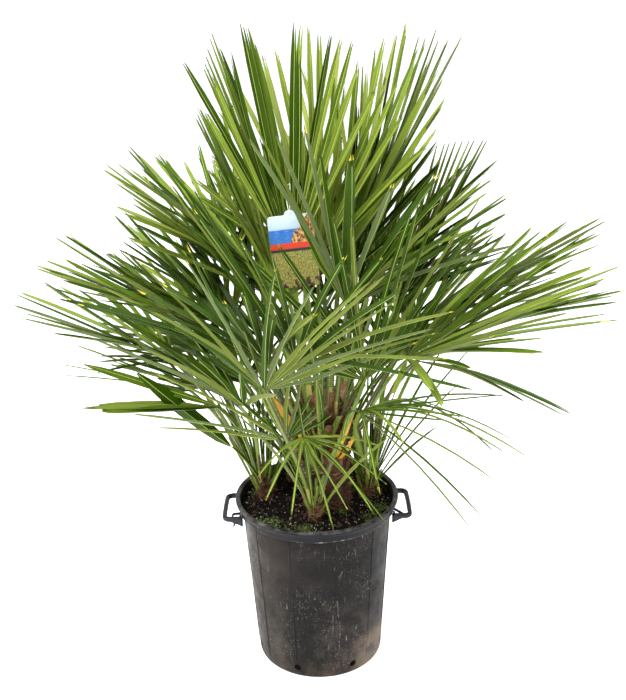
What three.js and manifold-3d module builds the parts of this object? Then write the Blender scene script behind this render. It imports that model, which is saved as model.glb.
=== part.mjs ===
// A European fan palm in a black nursery pot: pot, handles, soil, trunk, suckers, fronds and a card tag.
// Millimetres, +Z up, -Y towards the viewer, origin at the middle of the pot's flat underside.
import * as THREE from "three";
import { mergeVertices } from "three/addons/utils/BufferGeometryUtils.js";
import Module from "manifold-3d";

const { lerp } = THREE.MathUtils;
const wasm = await Module();
wasm.setup();

// Driving sizes of the pot
const GAP = 0.3;
const POT = {
  height: 430,
  rimRadius: 200,
  lipHeight: 38,
  neckRadius: 181,
  footRadius: 156,
  footBevel: 7,
  lipInset: 12,
  shelf: 8,
  wall: 4,
  floor: 5,
  sides: 44,
};
// Outside of the lip from its foot to its top: distance in from the rim's radius, and height above the foot
const LIP = [[9, 0], [7, 5], [4, 26], [0, 30], [0, 35], [3, 38], [8, 38]];
const LIP_CHAMFER = 3;
const LIP_STRAIGHT = 3;
const DRAIN = { count: 7, first: -21.5, radius: 9, height: 27, length: 32, sides: 10 };
const HANDLE = {
  height: 395,
  halfSpan: 68,
  outerX: 231,
  thick: 11,
  tall: 12,
  seatX: 178,
  corner: 14,
  mitre: 4,
};
const WEB = { sunk: 1, top: 10, toe: 16, toeDrop: 6, footDrop: 16, thick: 6, inset: 2.5 };
const SOIL_TOP = 408;
const SOIL_GAP = 0.4;
const PAST = 1;
const KEEP_OUT = { pot: 2, handle: 3, below: 60, above: 50 };

// Driving sizes of the stems: places of foot and top in plan, height above the soil, radii at the foot, in
// the middle and at the top, and number of sides
const STEMS = {
  trunk: { foot: [28, 12], top: [22, -10], height: 282, radii: [62, 50, 34], sides: 12 },
  sucker_left: { foot: [-126, 28], top: [-132, 26], height: 70, radii: [30, 25, 17], sides: 8 },
  sucker_front: { foot: [-4, -88], top: [-6, -96], height: 60, radii: [25, 21, 15], sides: 8 },
  sucker_right: { foot: [124, 26], top: [130, 30], height: 70, radii: [29, 24, 17], sides: 8 },
  sucker_back: { foot: [-50, 122], top: [-56, 132], height: 80, radii: [33, 27, 18], sides: 8 },
};
const STEM_SHAPE = { flareEnd: 0.22, crownStart: 0.7 };
const STUB = {
  count: 16,
  turn: 137.5,
  first: -40,
  lowest: 30,
  highest: 150,
  length: 44,
  lengthSpread: 0.25,
  width: 17,
  depth: 10,
  rise: 52,
  sink: 14,
  rootScale: 1.3,
  endScale: 0.7,
  seed: 90,
};
const TRIMMED = [
  { turn: -96, height: 226, length: 96 },
  { turn: -68, height: 196, length: 84 },
  { turn: -128, height: 206, length: 70 },
];

// Driving sizes of a frond: three-sided stalk, pleated palm and free leaflets
const STALK = {
  footWidth: 15,
  footDepth: 9,
  hubWidth: 9,
  hubDepth: 6,
  above: 2,
  widthFall: 0.6,
  steps: 6,
  sink: 9,
  nose: 12,
  lowestRoot: 0.36,
  rootSpan: 0.6,
  steepest: 86,
  lift: 10,
  mostLift: 84,
  follow: 0.4,
};
const PALM = { share: 0.24, above: 2, below: 6, keel: 5.5 };
const LEAFLET = { bend: 0.6, width: 20, depth: 5.2, taper: 0.18, bendDroop: 0.3, shortest: 20 };
const VARIATION = { length: 0.07, tilt: 3, droop: 0.03 };
const TILTS = [0, 4, -4, 8, -8, 13, -13, 18];
const REACHES = [1, 0.86, 0.7];
const SHIFT = { tries: 40, lift: 5, swing: 1.1, turn: 2.4 };

// Fronds that face the viewer: hub place, heading and pitch of the blade's middle line, roll about it,
// fold of its two halves, longest leaflet, half spread, number of leaflets and their droop
const FRONT_FRONDS = [
  ["trunk", [-42, 13, 1012], 109, 83, 15, 21, 530, 28, 13, 0.04],
  ["trunk", [78, -72, 928], 272, 48, 20, 39, 499, 71, 15, 0.05],
  ["trunk", [210, -86, 808], 352, 23, -4, 16, 505, 86, 18, 0.07],
  ["trunk", [-101, -78, 797], 194, 27, -1, 29, 554, 76, 16, 0.05],
  ["sucker_front", [-104, -267, 810], 258, 49, 3, 29, 454, 101, 13, 0.07],
  ["trunk", [-27, -230, 686], 296, -18, -2, 14, 285, 62, 9, 0.16],
  ["sucker_right", [98, -139, 704], 327, 16, 12, 8, 356, 67, 10, 0.26],
  ["trunk", [197, 89, 867], 33, 36, 4, 22, 341, 46, 13, 0.05],
  ["trunk", [-140, 39, 1002], 164, 39, -12, 18, 356, 38, 13, 0.05],
  ["trunk", [-186, -17, 867], 177, 36, -1, 17, 396, 55, 12, 0.05],
  ["sucker_left", [-330, 22, 781], 172, 19, -5, 21, 408, 62, 14, 0.05],
  ["sucker_left", [-214, -75, 695], 168, 11, 24, 18, 387, 26, 6, 0.05],
  ["trunk", [-38, -128, 818], 238, 52, 16, 23, 550, 77, 14, 0.05],
  ["trunk", [70, 101, 984], 46, 68, 5, 15, 560, 39, 14, 0.05],
  ["trunk", [112, 179, 980], 33, 65, 20, 21, 580, 36, 13, 0.05],
  ["trunk", [16, 82, 994], 80, 88, 26, 8, 520, 49, 13, 0.05],
  ["trunk", [275, 163, 811], 12, 22, 17, 15, 547, 52, 12, 0.05],
  ["trunk", [-215, 125, 864], 160, 36, -9, 19, 378, 61, 13, 0.05],
  ["sucker_left", [-312, 102, 710], 176, 16, 6, 20, 363, 59, 12, 0.05],
  ["sucker_right", [227, -15, 777], 341, -4, 21, 5, 367, 23, 5, 0.2],
  ["sucker_left", [-160, -115, 712], 209, 39, 7, 26, 509, 62, 11, 0.05],
  ["sucker_front", [108, -140, 707], 305, 68, 6, 19, 511, 78, 11, 0.05],
  ["trunk", [-66, -148, 640], 257, 73, -23, 18, 390, 82, 10, 0.05],
  ["trunk", [-280, 81, 847], 165, 34, -4, 22, 327, 52, 12, 0.05],
  ["trunk", [-239, -76, 882], 199, 28, -5, 23, 431, 42, 12, 0.05],
  ["trunk", [306, 31, 820], 8, 18, -6, 16, 451, 43, 12, 0.05],
];

// Fronds of the far side, in tiers from steep to flat: how many of which stem, between which headings, the
// rise and length of the stalk, and the blade's pitch, longest leaflet, half spread and number of leaflets
const FAR_TIERS = [
  { stem: "trunk", fronds: 4, turns: [55, 165], rise: 62, stalk: 300, pitch: 62, blade: [420, 52, 13] },
  { stem: "trunk", fronds: 5, turns: [35, 160], rise: 50, stalk: 350, pitch: 42, blade: [420, 60, 13] },
  { stem: "trunk", fronds: 4, turns: [45, 150], rise: 30, stalk: 330, pitch: 18, blade: [410, 66, 13] },
  { stem: "sucker_back", fronds: 5, turns: [60, 190], rise: 50, stalk: 300, pitch: 14, blade: [340, 72, 12] },
  { stem: "sucker_right", fronds: 3, turns: [25, 85], rise: 60, stalk: 300, pitch: 30, blade: [320, 66, 12] },
];
const FAR = { fold: 20, droop: 0.05, turn: 0.25, stalk: 0.08, rise: 4, pitch: 6, leaf: 0.06, roll: 12 };

// Driving sizes of the tag: a printed card on a cord looped round one leaflet of the first frond
const TAG = { frond: 0, leaflet: 6, width: 102, height: 168, thick: 1.6, lean: 5, eye: 26, eyeRise: 10 };
const HANG = { drop: 58, shift: 4, step: 2, most: 100, top: 2 };
const CORD = {
  above: 46,
  radius: 1.05,
  clear: 0.45,
  behind: 2,
  room: [18, 82],
  steps: 36,
  sides: 5,
  tension: 0.25,
};

const COLOURS = {
  pot: { color: "#2b2c2e", roughness: 0.55 },
  soil: { color: "#2a1d15", roughness: 0.95 },
  trunk: { color: "#5b4229", roughness: 0.95 },
  frond: { color: "#3f6b25", roughness: 0.5 },
  tag: { color: "#d9dde0", roughness: 0.35 },
};

// Small tools: angles, vectors, repeatable variation

function rad(degrees) {
  return (degrees * Math.PI) / 180;
}

function vec(x, y, z) {
  return new THREE.Vector3(x, y, z);
}

function heading(degrees, pitch = 0) {
  const flat = Math.cos(rad(pitch));
  return vec(flat * Math.cos(rad(degrees)), flat * Math.sin(rad(degrees)), Math.sin(rad(pitch)));
}

function along(origin, direction, distance) {
  return origin.clone().addScaledVector(direction, distance);
}

// A number from -1 to 1 that depends only on the three whole numbers
function vary(frond, leaflet, kind) {
  const wave = Math.sin(frond * 12.9898 + leaflet * 78.233 + kind * 37.719) * 43758.5453;
  return 2 * (wave - Math.floor(wave)) - 1;
}

// Closed meshes and their solids

function closedMesh(points, triangles) {
  const geometry = new THREE.BufferGeometry().setFromPoints(points);
  geometry.setIndex(triangles.flat());
  return geometry;
}

function capped(ring, offset, reversed) {
  const triangles = [];
  for (let i = 1; i + 1 < ring; i += 1) {
    triangles.push(reversed ? [offset, offset + i + 1, offset + i] : [offset, offset + i, offset + i + 1]);
  }
  return triangles;
}

// A skin over rings of equal count, closed by a flat cap or a single point at each end
function loft(rings, tip = null) {
  const ring = rings[0].length;
  const points = rings.flat();
  const triangles = capped(ring, 0, true);
  for (let k = 0; k + 1 < rings.length; k += 1) {
    for (let i = 0; i < ring; i += 1) {
      const a = k * ring + i;
      const b = k * ring + ((i + 1) % ring);
      triangles.push([a, b, b + ring], [a, b + ring, a + ring]);
    }
  }
  const last = (rings.length - 1) * ring;
  if (!tip) return closedMesh(points, [...triangles, ...capped(ring, last, false)]);
  points.push(tip);
  for (let i = 0; i < ring; i += 1) {
    triangles.push([last + i, last + ((i + 1) % ring), points.length - 1]);
  }
  return closedMesh(points, triangles);
}

function solid(geometry) {
  const bare = geometry.clone();
  bare.deleteAttribute("normal");
  bare.deleteAttribute("uv");
  const merged = mergeVertices(bare, 1e-4);
  const make = (triVerts) =>
    new wasm.Manifold(
      new wasm.Mesh({ numProp: 3, vertProperties: merged.attributes.position.array, triVerts }),
    );
  const faces = new Uint32Array(merged.index.array);
  const made = make(faces);
  return made.volume() > 0 ? made : make(faces.reverse());
}

function geometryOf(body) {
  const mesh = body.getMesh();
  const geometry = new THREE.BufferGeometry();
  geometry.setAttribute("position", new THREE.BufferAttribute(mesh.vertProperties, 3));
  geometry.setIndex(new THREE.BufferAttribute(mesh.triVerts, 1));
  return geometry;
}

function largest(body) {
  return body.decompose().reduce((a, b) => (a.volume() > b.volume() ? a : b));
}

// A solid with the box round it, for quick tests of what meets what
function obstacle(body) {
  const { min, max } = body.boundingBox();
  return { body, min, max };
}

function boxesMeet(a, b) {
  return [0, 1, 2].every((k) => a.min[k] < b.max[k] && b.min[k] < a.max[k]);
}

function meets(candidate, others) {
  const near = others.filter((other) => boxesMeet(candidate, other));
  return near.some((other) => !candidate.body.intersect(other.body).isEmpty());
}

// Pot, handles and soil

function lathe(profile, sides) {
  const points = profile.map(([radius, z]) => new THREE.Vector2(radius, z));
  return new THREE.LatheGeometry(points, sides).rotateX(Math.PI / 2);
}

function potRadiusAt(z) {
  const rise = POT.height - POT.lipHeight - POT.footBevel;
  return POT.footRadius + ((POT.neckRadius - POT.footRadius) * (z - POT.footBevel)) / rise;
}

// The inside of the pot, drawn in by an allowance, up to a given height in the lip
function cavityProfile(allowance, top) {
  const lipFoot = POT.height - POT.lipHeight;
  const lipInside = POT.rimRadius - POT.lipInset - allowance;
  return [
    [0, POT.floor + allowance],
    [potRadiusAt(POT.floor) - POT.wall - allowance, POT.floor + allowance],
    [POT.neckRadius - POT.wall - allowance, lipFoot + allowance],
    [lipInside, lipFoot + POT.shelf + allowance],
    [lipInside, top],
  ];
}

function potBody() {
  const lipFoot = POT.height - POT.lipHeight;
  const outside = [
    [0, 0],
    [POT.footRadius - POT.footBevel, 0],
    [POT.footRadius, POT.footBevel],
    [POT.neckRadius, lipFoot],
    ...LIP.map(([inset, rise]) => [POT.rimRadius - inset, lipFoot + rise]),
  ];
  const inside = cavityProfile(0, POT.height - LIP_CHAMFER).reverse();
  let pot = solid(lathe([...outside, ...inside], POT.sides));
  for (let k = 0; k < DRAIN.count; k += 1) {
    const turn = DRAIN.first + (360 * k) / DRAIN.count - 90;
    const place = heading(turn).multiplyScalar(potRadiusAt(DRAIN.height)).setZ(DRAIN.height);
    const drill = new THREE.CylinderGeometry(DRAIN.radius, DRAIN.radius, DRAIN.length, DRAIN.sides);
    drill.rotateZ(Math.PI / 2).rotateZ(rad(turn)).translate(place.x, place.y, place.z);
    pot = pot.subtract(solid(drill));
  }
  return pot;
}

function soilBody() {
  const rim = cavityProfile(SOIL_GAP, SOIL_TOP);
  return solid(lathe([...rim, [0, SOIL_TOP]], POT.sides));
}

// A flat bar bent out from the lip and back, with a web under each leg; side is 1 on the right
function handleBody(side) {
  const { halfSpan, outerX, thick, tall, seatX, height, corner, mitre } = HANDLE;
  const shape = new THREE.Shape();
  shape.moveTo(seatX, -halfSpan);
  shape.lineTo(outerX - corner, -halfSpan);
  shape.quadraticCurveTo(outerX, -halfSpan, outerX, corner - halfSpan);
  shape.lineTo(outerX, halfSpan - corner);
  shape.quadraticCurveTo(outerX, halfSpan, outerX - corner, halfSpan);
  shape.lineTo(seatX, halfSpan);
  shape.lineTo(seatX, halfSpan - thick);
  shape.lineTo(outerX - thick - mitre, halfSpan - thick);
  shape.lineTo(outerX - thick, halfSpan - thick - mitre);
  shape.lineTo(outerX - thick, thick + mitre - halfSpan);
  shape.lineTo(outerX - thick - mitre, thick - halfSpan);
  shape.lineTo(seatX, thick - halfSpan);
  const bar = new THREE.ExtrudeGeometry(shape, { depth: tall, bevelEnabled: false, curveSegments: 3 });
  bar.translate(0, 0, height - tall / 2);
  let handle = solid(bar);
  const below = height - tall / 2;
  for (const y of [-halfSpan, halfSpan - thick]) {
    const web = new THREE.Shape();
    web.moveTo(seatX, below + WEB.sunk);
    web.lineTo(outerX - WEB.top, below + WEB.sunk);
    web.lineTo(outerX - WEB.toe, below - WEB.toeDrop);
    web.lineTo(seatX, below - WEB.footDrop);
    const rib = new THREE.ExtrudeGeometry(web, { depth: WEB.thick, bevelEnabled: false });
    rib.rotateX(Math.PI / 2).translate(0, y + thick - WEB.inset, 0);
    handle = handle.add(solid(rib));
  }
  const lipFoot = POT.height - POT.lipHeight;
  const lipFace = LIP.slice(0, LIP_STRAIGHT);
  const outline = [
    [0, -PAST],
    [potRadiusAt(0) + GAP, -PAST],
    [POT.neckRadius + GAP, lipFoot - GAP],
    ...lipFace.map(([inset, rise]) => [POT.rimRadius - inset + GAP, lipFoot + rise - GAP]),
    [POT.rimRadius - LIP[LIP_STRAIGHT - 1][0] + GAP, POT.height + PAST],
    [0, POT.height + PAST],
  ];
  const seated = largest(handle.subtract(solid(lathe(outline, POT.sides))));
  return side > 0 ? seated : seated.rotate([0, 0, 180]);
}

// Stems

function stemCentre(stem, z) {
  const share = (z - SOIL_TOP) / stem.height;
  const x = stem.foot[0] + (stem.top[0] - stem.foot[0]) * share;
  const y = stem.foot[1] + (stem.top[1] - stem.foot[1]) * share;
  return vec(x, y, z);
}

// Foot flare, then an even stem that rounds in at its crown
function stemRadius(stem, z) {
  const [foot, middle, top] = stem.radii;
  const share = (z - SOIL_TOP) / stem.height;
  const flare = (foot - middle) * Math.max(0, 1 - share / STEM_SHAPE.flareEnd) ** 2;
  const inCrown = Math.max(0, (share - STEM_SHAPE.crownStart) / (1 - STEM_SHAPE.crownStart));
  return middle + flare - (middle - top) * inCrown ** 2;
}

function stemBody(stem, allowance = 0) {
  const { flareEnd, crownStart } = STEM_SHAPE;
  const waist = (flareEnd + crownStart) / 2;
  const shares = [0, flareEnd / 2, flareEnd, waist, crownStart, (1 + crownStart) / 2, 1];
  const rings = shares.map((share) => {
    const z = SOIL_TOP + GAP + share * (stem.height - GAP) + (share === 1 ? allowance : 0);
    const centre = stemCentre(stem, z);
    const radius = stemRadius(stem, z) + allowance;
    const turns = Array.from({ length: stem.sides }, (_, i) => (360 * i) / stem.sides);
    return turns.map((turn) => along(centre, heading(turn), radius));
  });
  return solid(loft(rings));
}

// A stump of a trimmed stalk, its root sunk in the trunk
function stubBody(stem, turn, height, length) {
  const z = SOIL_TOP + height;
  const out = heading(turn);
  const root = along(stemCentre(stem, z), out, stemRadius(stem, z) - STUB.sink);
  const reach = heading(turn, STUB.rise);
  const side = heading(turn - 90);
  const over = new THREE.Vector3().crossVectors(side, reach);
  const ring = (distance, scale) => {
    const middle = along(root, reach, distance);
    return [
      along(middle, side, (STUB.width / 2) * scale),
      along(middle, side, (-STUB.width / 2) * scale),
      along(middle, over, -STUB.depth * scale),
    ];
  };
  return solid(loft([ring(0, STUB.rootScale), ring(length, STUB.endScale)]));
}

// Old stumps wind up the trunk by a constant turn, with trimmed stalks above; each stays clear of the fronds
function trunkBody(limbs) {
  const stem = STEMS.trunk;
  const wound = Array.from({ length: STUB.count }, (_, k) => ({
    turn: STUB.first + STUB.turn * k,
    height: STUB.lowest + ((STUB.highest - STUB.lowest) * k) / (STUB.count - 1),
    length: STUB.length * (1 + STUB.lengthSpread * vary(STUB.seed, k, 1)),
  }));
  let trunk = stemBody(stem);
  for (const { turn, height, length } of [...wound, ...TRIMMED]) {
    const stub = stubBody(stem, turn, height, length);
    if (!meets(obstacle(stub), limbs)) trunk = trunk.add(stub);
  }
  return trunk;
}

// Fronds

function farFronds() {
  return FAR_TIERS.flatMap((tier, row) => {
    const stem = STEMS[tier.stem];
    const top = stemCentre(stem, SOIL_TOP + stem.height);
    const [first, last] = tier.turns;
    const [leaf, spread, leaflets] = tier.blade;
    return Array.from({ length: tier.fronds }, (_, k) => {
      const turn = first + ((last - first) * (k + 0.5 + FAR.turn * vary(row, k, 5))) / tier.fronds;
      const stalk = tier.stalk * (1 + FAR.stalk * vary(row, k, 6));
      const hub = along(top, heading(turn, tier.rise + FAR.rise * vary(row, k, 7)), stalk);
      const pitch = tier.pitch + FAR.pitch * vary(row, k, 8);
      const length = leaf * (1 + FAR.leaf * vary(row, k, 9));
      const roll = FAR.roll * vary(row, k, 10);
      return [tier.stem, hub.toArray(), turn, pitch, roll, FAR.fold, length, spread, leaflets, FAR.droop];
    });
  });
}

// The rule of one frond: its hub, its blade's middle line, side and upper normal
function frondFrame(spec, shift) {
  const [stem, place, turn, pitch, roll, fold, leaf, spread, leaflets, droop] = spec;
  const middle = STEMS[stem].top;
  const lift = SHIFT.lift * shift * Math.cos(SHIFT.turn * shift);
  const spin = rad(SHIFT.swing * shift * Math.sin(SHIFT.turn * shift));
  const dx = place[0] - middle[0];
  const dy = place[1] - middle[1];
  const hub = vec(
    middle[0] + dx * Math.cos(spin) - dy * Math.sin(spin),
    middle[1] + dx * Math.sin(spin) + dy * Math.cos(spin),
    place[2] + lift,
  );
  const axis = heading(turn, pitch);
  const level = heading(turn - 90);
  const over = new THREE.Vector3().crossVectors(level, axis);
  const side = level.clone().multiplyScalar(Math.cos(rad(roll)));
  side.addScaledVector(over, Math.sin(rad(roll)));
  const normal = new THREE.Vector3().crossVectors(side, axis);
  return { stem, hub, axis, side, normal, fold, leaf, spread, leaflets, droop };
}

// Direction in the folded blade at an angle from its middle line
function bladeDirection(frame, angle) {
  const turn = rad(angle);
  const out = Math.sin(turn) * Math.cos(rad(frame.fold));
  const up = Math.abs(Math.sin(turn)) * Math.sin(rad(frame.fold));
  return frame.axis
    .clone()
    .multiplyScalar(Math.cos(turn))
    .addScaledVector(frame.side, out)
    .addScaledVector(frame.normal, up)
    .normalize();
}

function leafletFrame(frame, index, number) {
  const step = (2 * frame.spread) / (frame.leaflets - 1);
  const angle = -frame.spread + step * index;
  const direction = bladeDirection(frame, angle);
  const across = bladeDirection(frame, angle + 1).sub(bladeDirection(frame, angle - 1)).normalize();
  const over = new THREE.Vector3().crossVectors(across, direction).normalize();
  const outward = (angle / frame.spread) ** 2;
  const length = frame.leaf * (1 - LEAFLET.taper * outward) * (1 + VARIATION.length * vary(number, index, 1));
  const tilt = VARIATION.tilt * vary(number, index, 2);
  const droop = frame.droop + VARIATION.droop * vary(number, index, 3);
  return { direction, across, over, length, tilt, droop };
}

// The rim of the palm: notches between the leaflets, and a keel under each
function palmRim(frame, number) {
  const step = (2 * frame.spread) / (frame.leaflets - 1);
  const radius = PALM.share * frame.leaf;
  const notches = [];
  const keels = [];
  for (let i = 0; i <= frame.leaflets; i += 1) {
    const angle = -frame.spread + step * (i - 0.5);
    notches.push(along(frame.hub, bladeDirection(frame, angle), radius));
  }
  for (let i = 0; i < frame.leaflets; i += 1) {
    const { direction, over } = leafletFrame(frame, i, number);
    keels.push(along(along(frame.hub, direction, radius), over, -PALM.keel));
  }
  return { radius, notches, keels };
}

// The free part of a leaflet beyond the palm: one three-sided ring at its bend, then the tip
function leafletPoints(frame, index, number, tilt, reach, margin = 0) {
  const { direction, across, over, length, tilt: lean, droop } = leafletFrame(frame, index, number);
  const radius = PALM.share * frame.leaf;
  const free = direction
    .clone()
    .multiplyScalar(Math.cos(rad(tilt + lean)))
    .addScaledVector(over, Math.sin(rad(tilt + lean)));
  const root = along(frame.hub, direction, radius);
  const place = (share, sag) => {
    const point = along(root, free, Math.max(share * length * reach - radius, LEAFLET.shortest * share));
    point.z -= sag * droop * length * reach;
    return point;
  };
  const middle = place(LEAFLET.bend, LEAFLET.bendDroop);
  const half = LEAFLET.width / 2 + margin;
  const ring = [
    along(middle, across, -half),
    along(middle, across, half),
    along(middle, over, -LEAFLET.depth - margin),
  ];
  return { ring, tip: along(place(1, 1), free, margin) };
}

function leafletBody(frame, rim, index, number, tilt, reach, margin) {
  const root = [rim.notches[index], rim.notches[index + 1], rim.keels[index]];
  const { ring, tip } = leafletPoints(frame, index, number, tilt, reach, margin);
  return solid(loft([root, ring], tip));
}

// The palm with the leaflets that are kept, as one closed blade
function bladeBody(frame, rim, kept, number) {
  const top = along(frame.hub, frame.normal, PALM.above);
  const bottom = along(frame.hub, frame.normal, -PALM.below);
  const points = [top, bottom, ...rim.notches, ...rim.keels];
  const notch = (i) => 2 + i;
  const keel = (i) => 2 + rim.notches.length + i;
  const triangles = [
    [0, 1, notch(0)],
    [0, notch(frame.leaflets), 1],
  ];
  for (let i = 0; i < frame.leaflets; i += 1) {
    triangles.push([0, notch(i), notch(i + 1)], [1, keel(i), notch(i)], [1, notch(i + 1), keel(i)]);
    if (!kept[i]) {
      triangles.push([notch(i), keel(i), notch(i + 1)]);
      continue;
    }
    const { ring, tip } = leafletPoints(frame, i, number, kept[i].tilt, kept[i].reach);
    const first = points.length;
    points.push(...ring, tip);
    const root = [notch(i), notch(i + 1), keel(i)];
    for (let k = 0; k < 3; k += 1) {
      const next = (k + 1) % 3;
      triangles.push([root[k], first + k, root[next]], [root[next], first + k, first + next]);
      triangles.push([first + k, first + 3, first + next]);
    }
  }
  return solid(closedMesh(points, triangles));
}

// Steeper fronds leave their stem higher up
function stalkRoot(frame) {
  const stem = STEMS[frame.stem];
  const top = stemCentre(stem, SOIL_TOP + stem.height);
  const way = frame.hub.clone().sub(top);
  const flat = Math.hypot(way.x, way.y);
  const rise = Math.atan2(way.z, flat);
  const steepness = THREE.MathUtils.clamp(rise / rad(STALK.steepest), 0, 1);
  const share = STALK.lowestRoot + STALK.rootSpan * steepness;
  const z = SOIL_TOP + stem.height * share;
  const out = vec(way.x / flat, way.y / flat, 0);
  const root = along(stemCentre(stem, z), out, stemRadius(stem, z) - STALK.sink);
  return { root, out, rise };
}

function stalkBody(frame, margin = 0) {
  const { root, out, rise } = stalkRoot(frame);
  const length = root.distanceTo(frame.hub);
  const lift = Math.min(rise + rad(STALK.lift), rad(STALK.mostLift));
  const start = vec(out.x * Math.cos(lift), out.y * Math.cos(lift), Math.sin(lift));
  const chord = frame.hub.clone().sub(root).normalize();
  chord.multiplyScalar(1 - STALK.follow);
  const finish = chord.addScaledVector(frame.axis, STALK.follow).normalize();
  const curve = new THREE.CubicBezierCurve3(
    root,
    along(root, start, length / 3),
    along(frame.hub, finish, -length / 3),
    along(frame.hub, frame.axis, STALK.nose),
  );
  const rings = [];
  for (let k = 0; k <= STALK.steps; k += 1) {
    const share = k / STALK.steps;
    const point = curve.getPoint(share);
    const tangent = curve.getTangent(share);
    const side = frame.side.clone().addScaledVector(tangent, -frame.side.dot(tangent)).normalize();
    const over = new THREE.Vector3().crossVectors(side, tangent);
    const width = lerp(STALK.footWidth, STALK.hubWidth, share ** STALK.widthFall);
    const half = width / 2 + margin;
    const depth = lerp(STALK.footDepth, STALK.hubDepth, share) + margin;
    rings.push([
      along(along(point, side, half), over, STALK.above + margin),
      along(along(point, side, -half), over, STALK.above + margin),
      along(point, over, STALK.above - depth),
    ]);
  }
  return solid(loft(rings));
}

// Tag

// The room that a leaflet takes up beside the cord: its section, drawn wider, before and after the loop
function leafletRoom(frame, rim, index) {
  const { ring } = leafletPoints(frame, index, TAG.frond, 0, 1);
  const { across, over, length } = leafletFrame(frame, index, TAG.frond);
  const root = [rim.notches[index], rim.notches[index + 1], rim.keels[index]];
  const free = LEAFLET.bend * length - rim.radius;
  const section = (distance) => {
    const [left, right, keel] = root.map((corner, k) => corner.clone().lerp(ring[k], distance / free));
    return [
      along(along(left, across, -CORD.clear), over, CORD.clear),
      along(along(right, across, CORD.clear), over, CORD.clear),
      along(right, across, 2 * CORD.clear),
      along(keel, over, -2 * CORD.clear),
      along(left, across, -2 * CORD.clear),
    ];
  };
  return solid(loft(CORD.room.map(section)));
}

// A closed cord from the card's eye, up one side of the leaflet, behind it and down its other side
function cordBody(frame, rim, eye) {
  const { direction, across, over } = leafletFrame(frame, TAG.leaflet, TAG.frond);
  const held = along(frame.hub, direction, rim.radius + CORD.above);
  const half = held.distanceTo(frame.hub) * Math.sin(rad(frame.spread / (frame.leaflets - 1)));
  const corners = [
    eye,
    along(held, across, -half),
    along(along(held, across, -half / 2), over, -LEAFLET.depth - CORD.behind),
    along(along(held, across, half / 2), over, -LEAFLET.depth - CORD.behind),
    along(held, across, half),
  ];
  const curve = new THREE.CatmullRomCurve3(corners, true, "catmullrom", CORD.tension);
  let cord = solid(new THREE.TubeGeometry(curve, CORD.steps, CORD.radius, CORD.sides, true));
  for (const index of [TAG.leaflet - 1, TAG.leaflet, TAG.leaflet + 1]) {
    cord = cord.subtract(leafletRoom(frame, rim, index));
  }
  return largest(cord);
}

// A printed card that hangs in front, as near the palm as its halves allow, its eye fused to the cord
function tagBody(frame, rim, limb) {
  const { direction } = leafletFrame(frame, TAG.leaflet, TAG.frond);
  const held = along(frame.hub, direction, rim.radius + CORD.above);
  const { width, height, thick, eye } = TAG;
  const card = new THREE.BoxGeometry(width, thick, height).translate(0, 0, -height / 2 - HANG.top);
  const tab = new THREE.BoxGeometry(eye, thick, 2 * TAG.eyeRise);
  const front = solid(card).add(solid(tab)).rotate([0, -TAG.lean, 0]);
  const place = vec(held.x + HANG.shift, held.y - HANG.most, held.z - HANG.drop);
  while (!meets(obstacle(front.translate(place.toArray())), [limb])) place.y += HANG.step;
  place.y -= HANG.step;
  return front.translate(place.toArray()).add(cordBody(frame, rim, place));
}

// Assembly

function addNode(group, name, body, look) {
  const { color, roughness } = COLOURS[look];
  const material = new THREE.MeshStandardMaterial({ color, roughness, metalness: 0, flatShading: true });
  const mesh = new THREE.Mesh(geometryOf(body), material);
  mesh.name = name;
  group.add(mesh);
}

function blockBody(low, high) {
  const size = high.map((value, k) => value - low[k]);
  const middle = high.map((value, k) => (value + low[k]) / 2);
  return solid(new THREE.BoxGeometry(...size).translate(...middle));
}

// Spaces that no frond may enter: the pot with its soil, and each handle with its finger gap
function keepOuts() {
  const drum = [
    [0, -PAST],
    [POT.rimRadius + KEEP_OUT.pot, -PAST],
    [POT.rimRadius + KEEP_OUT.pot, POT.height + KEEP_OUT.pot],
    [0, POT.height + KEEP_OUT.pot],
  ];
  const reach = HANDLE.outerX + KEEP_OUT.handle;
  const spaces = [solid(lathe(drum, POT.sides))];
  for (const [low, high] of [[-reach, -HANDLE.seatX], [HANDLE.seatX, reach]]) {
    const half = HANDLE.halfSpan + KEEP_OUT.handle;
    const bottom = HANDLE.height - KEEP_OUT.below;
    const top = HANDLE.height + KEEP_OUT.above;
    spaces.push(blockBody([low, -half, bottom], [high, half, top]));
  }
  return spaces.map(obstacle);
}

// The first place near its own where a frond's stalk and palm are clear of the limbs before it
function placeLimb(spec, number, stemCuts, others) {
  for (let shift = 0; shift < SHIFT.tries; shift += 1) {
    const frame = frondFrame(spec, shift);
    const rim = palmRim(frame, number);
    const palm = bladeBody(frame, rim, [], number);
    const limb = obstacle(stalkBody(frame, GAP).add(palm).subtract(stemCuts[frame.stem]));
    if (!meets(limb, others)) return { frame, rim, limb };
  }
  throw new Error("no clear place for frond " + (number + 1));
}

// The leaflets of a frond that find a clear way, each tried straight, then tilted, then shorter
function placeLeaflets({ frame, rim }, number, others) {
  const kept = [];
  for (let index = 0; index < frame.leaflets; index += 1) {
    const tries = REACHES.flatMap((reach) => TILTS.map((tilt) => ({ tilt, reach })));
    kept.push(
      tries.find(({ tilt, reach }) => {
        const leaflet = obstacle(leafletBody(frame, rim, index, number, tilt, reach, GAP));
        if (meets(leaflet, others)) return false;
        others.push(leaflet);
        return true;
      }) || null,
    );
  }
  return kept;
}

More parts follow.
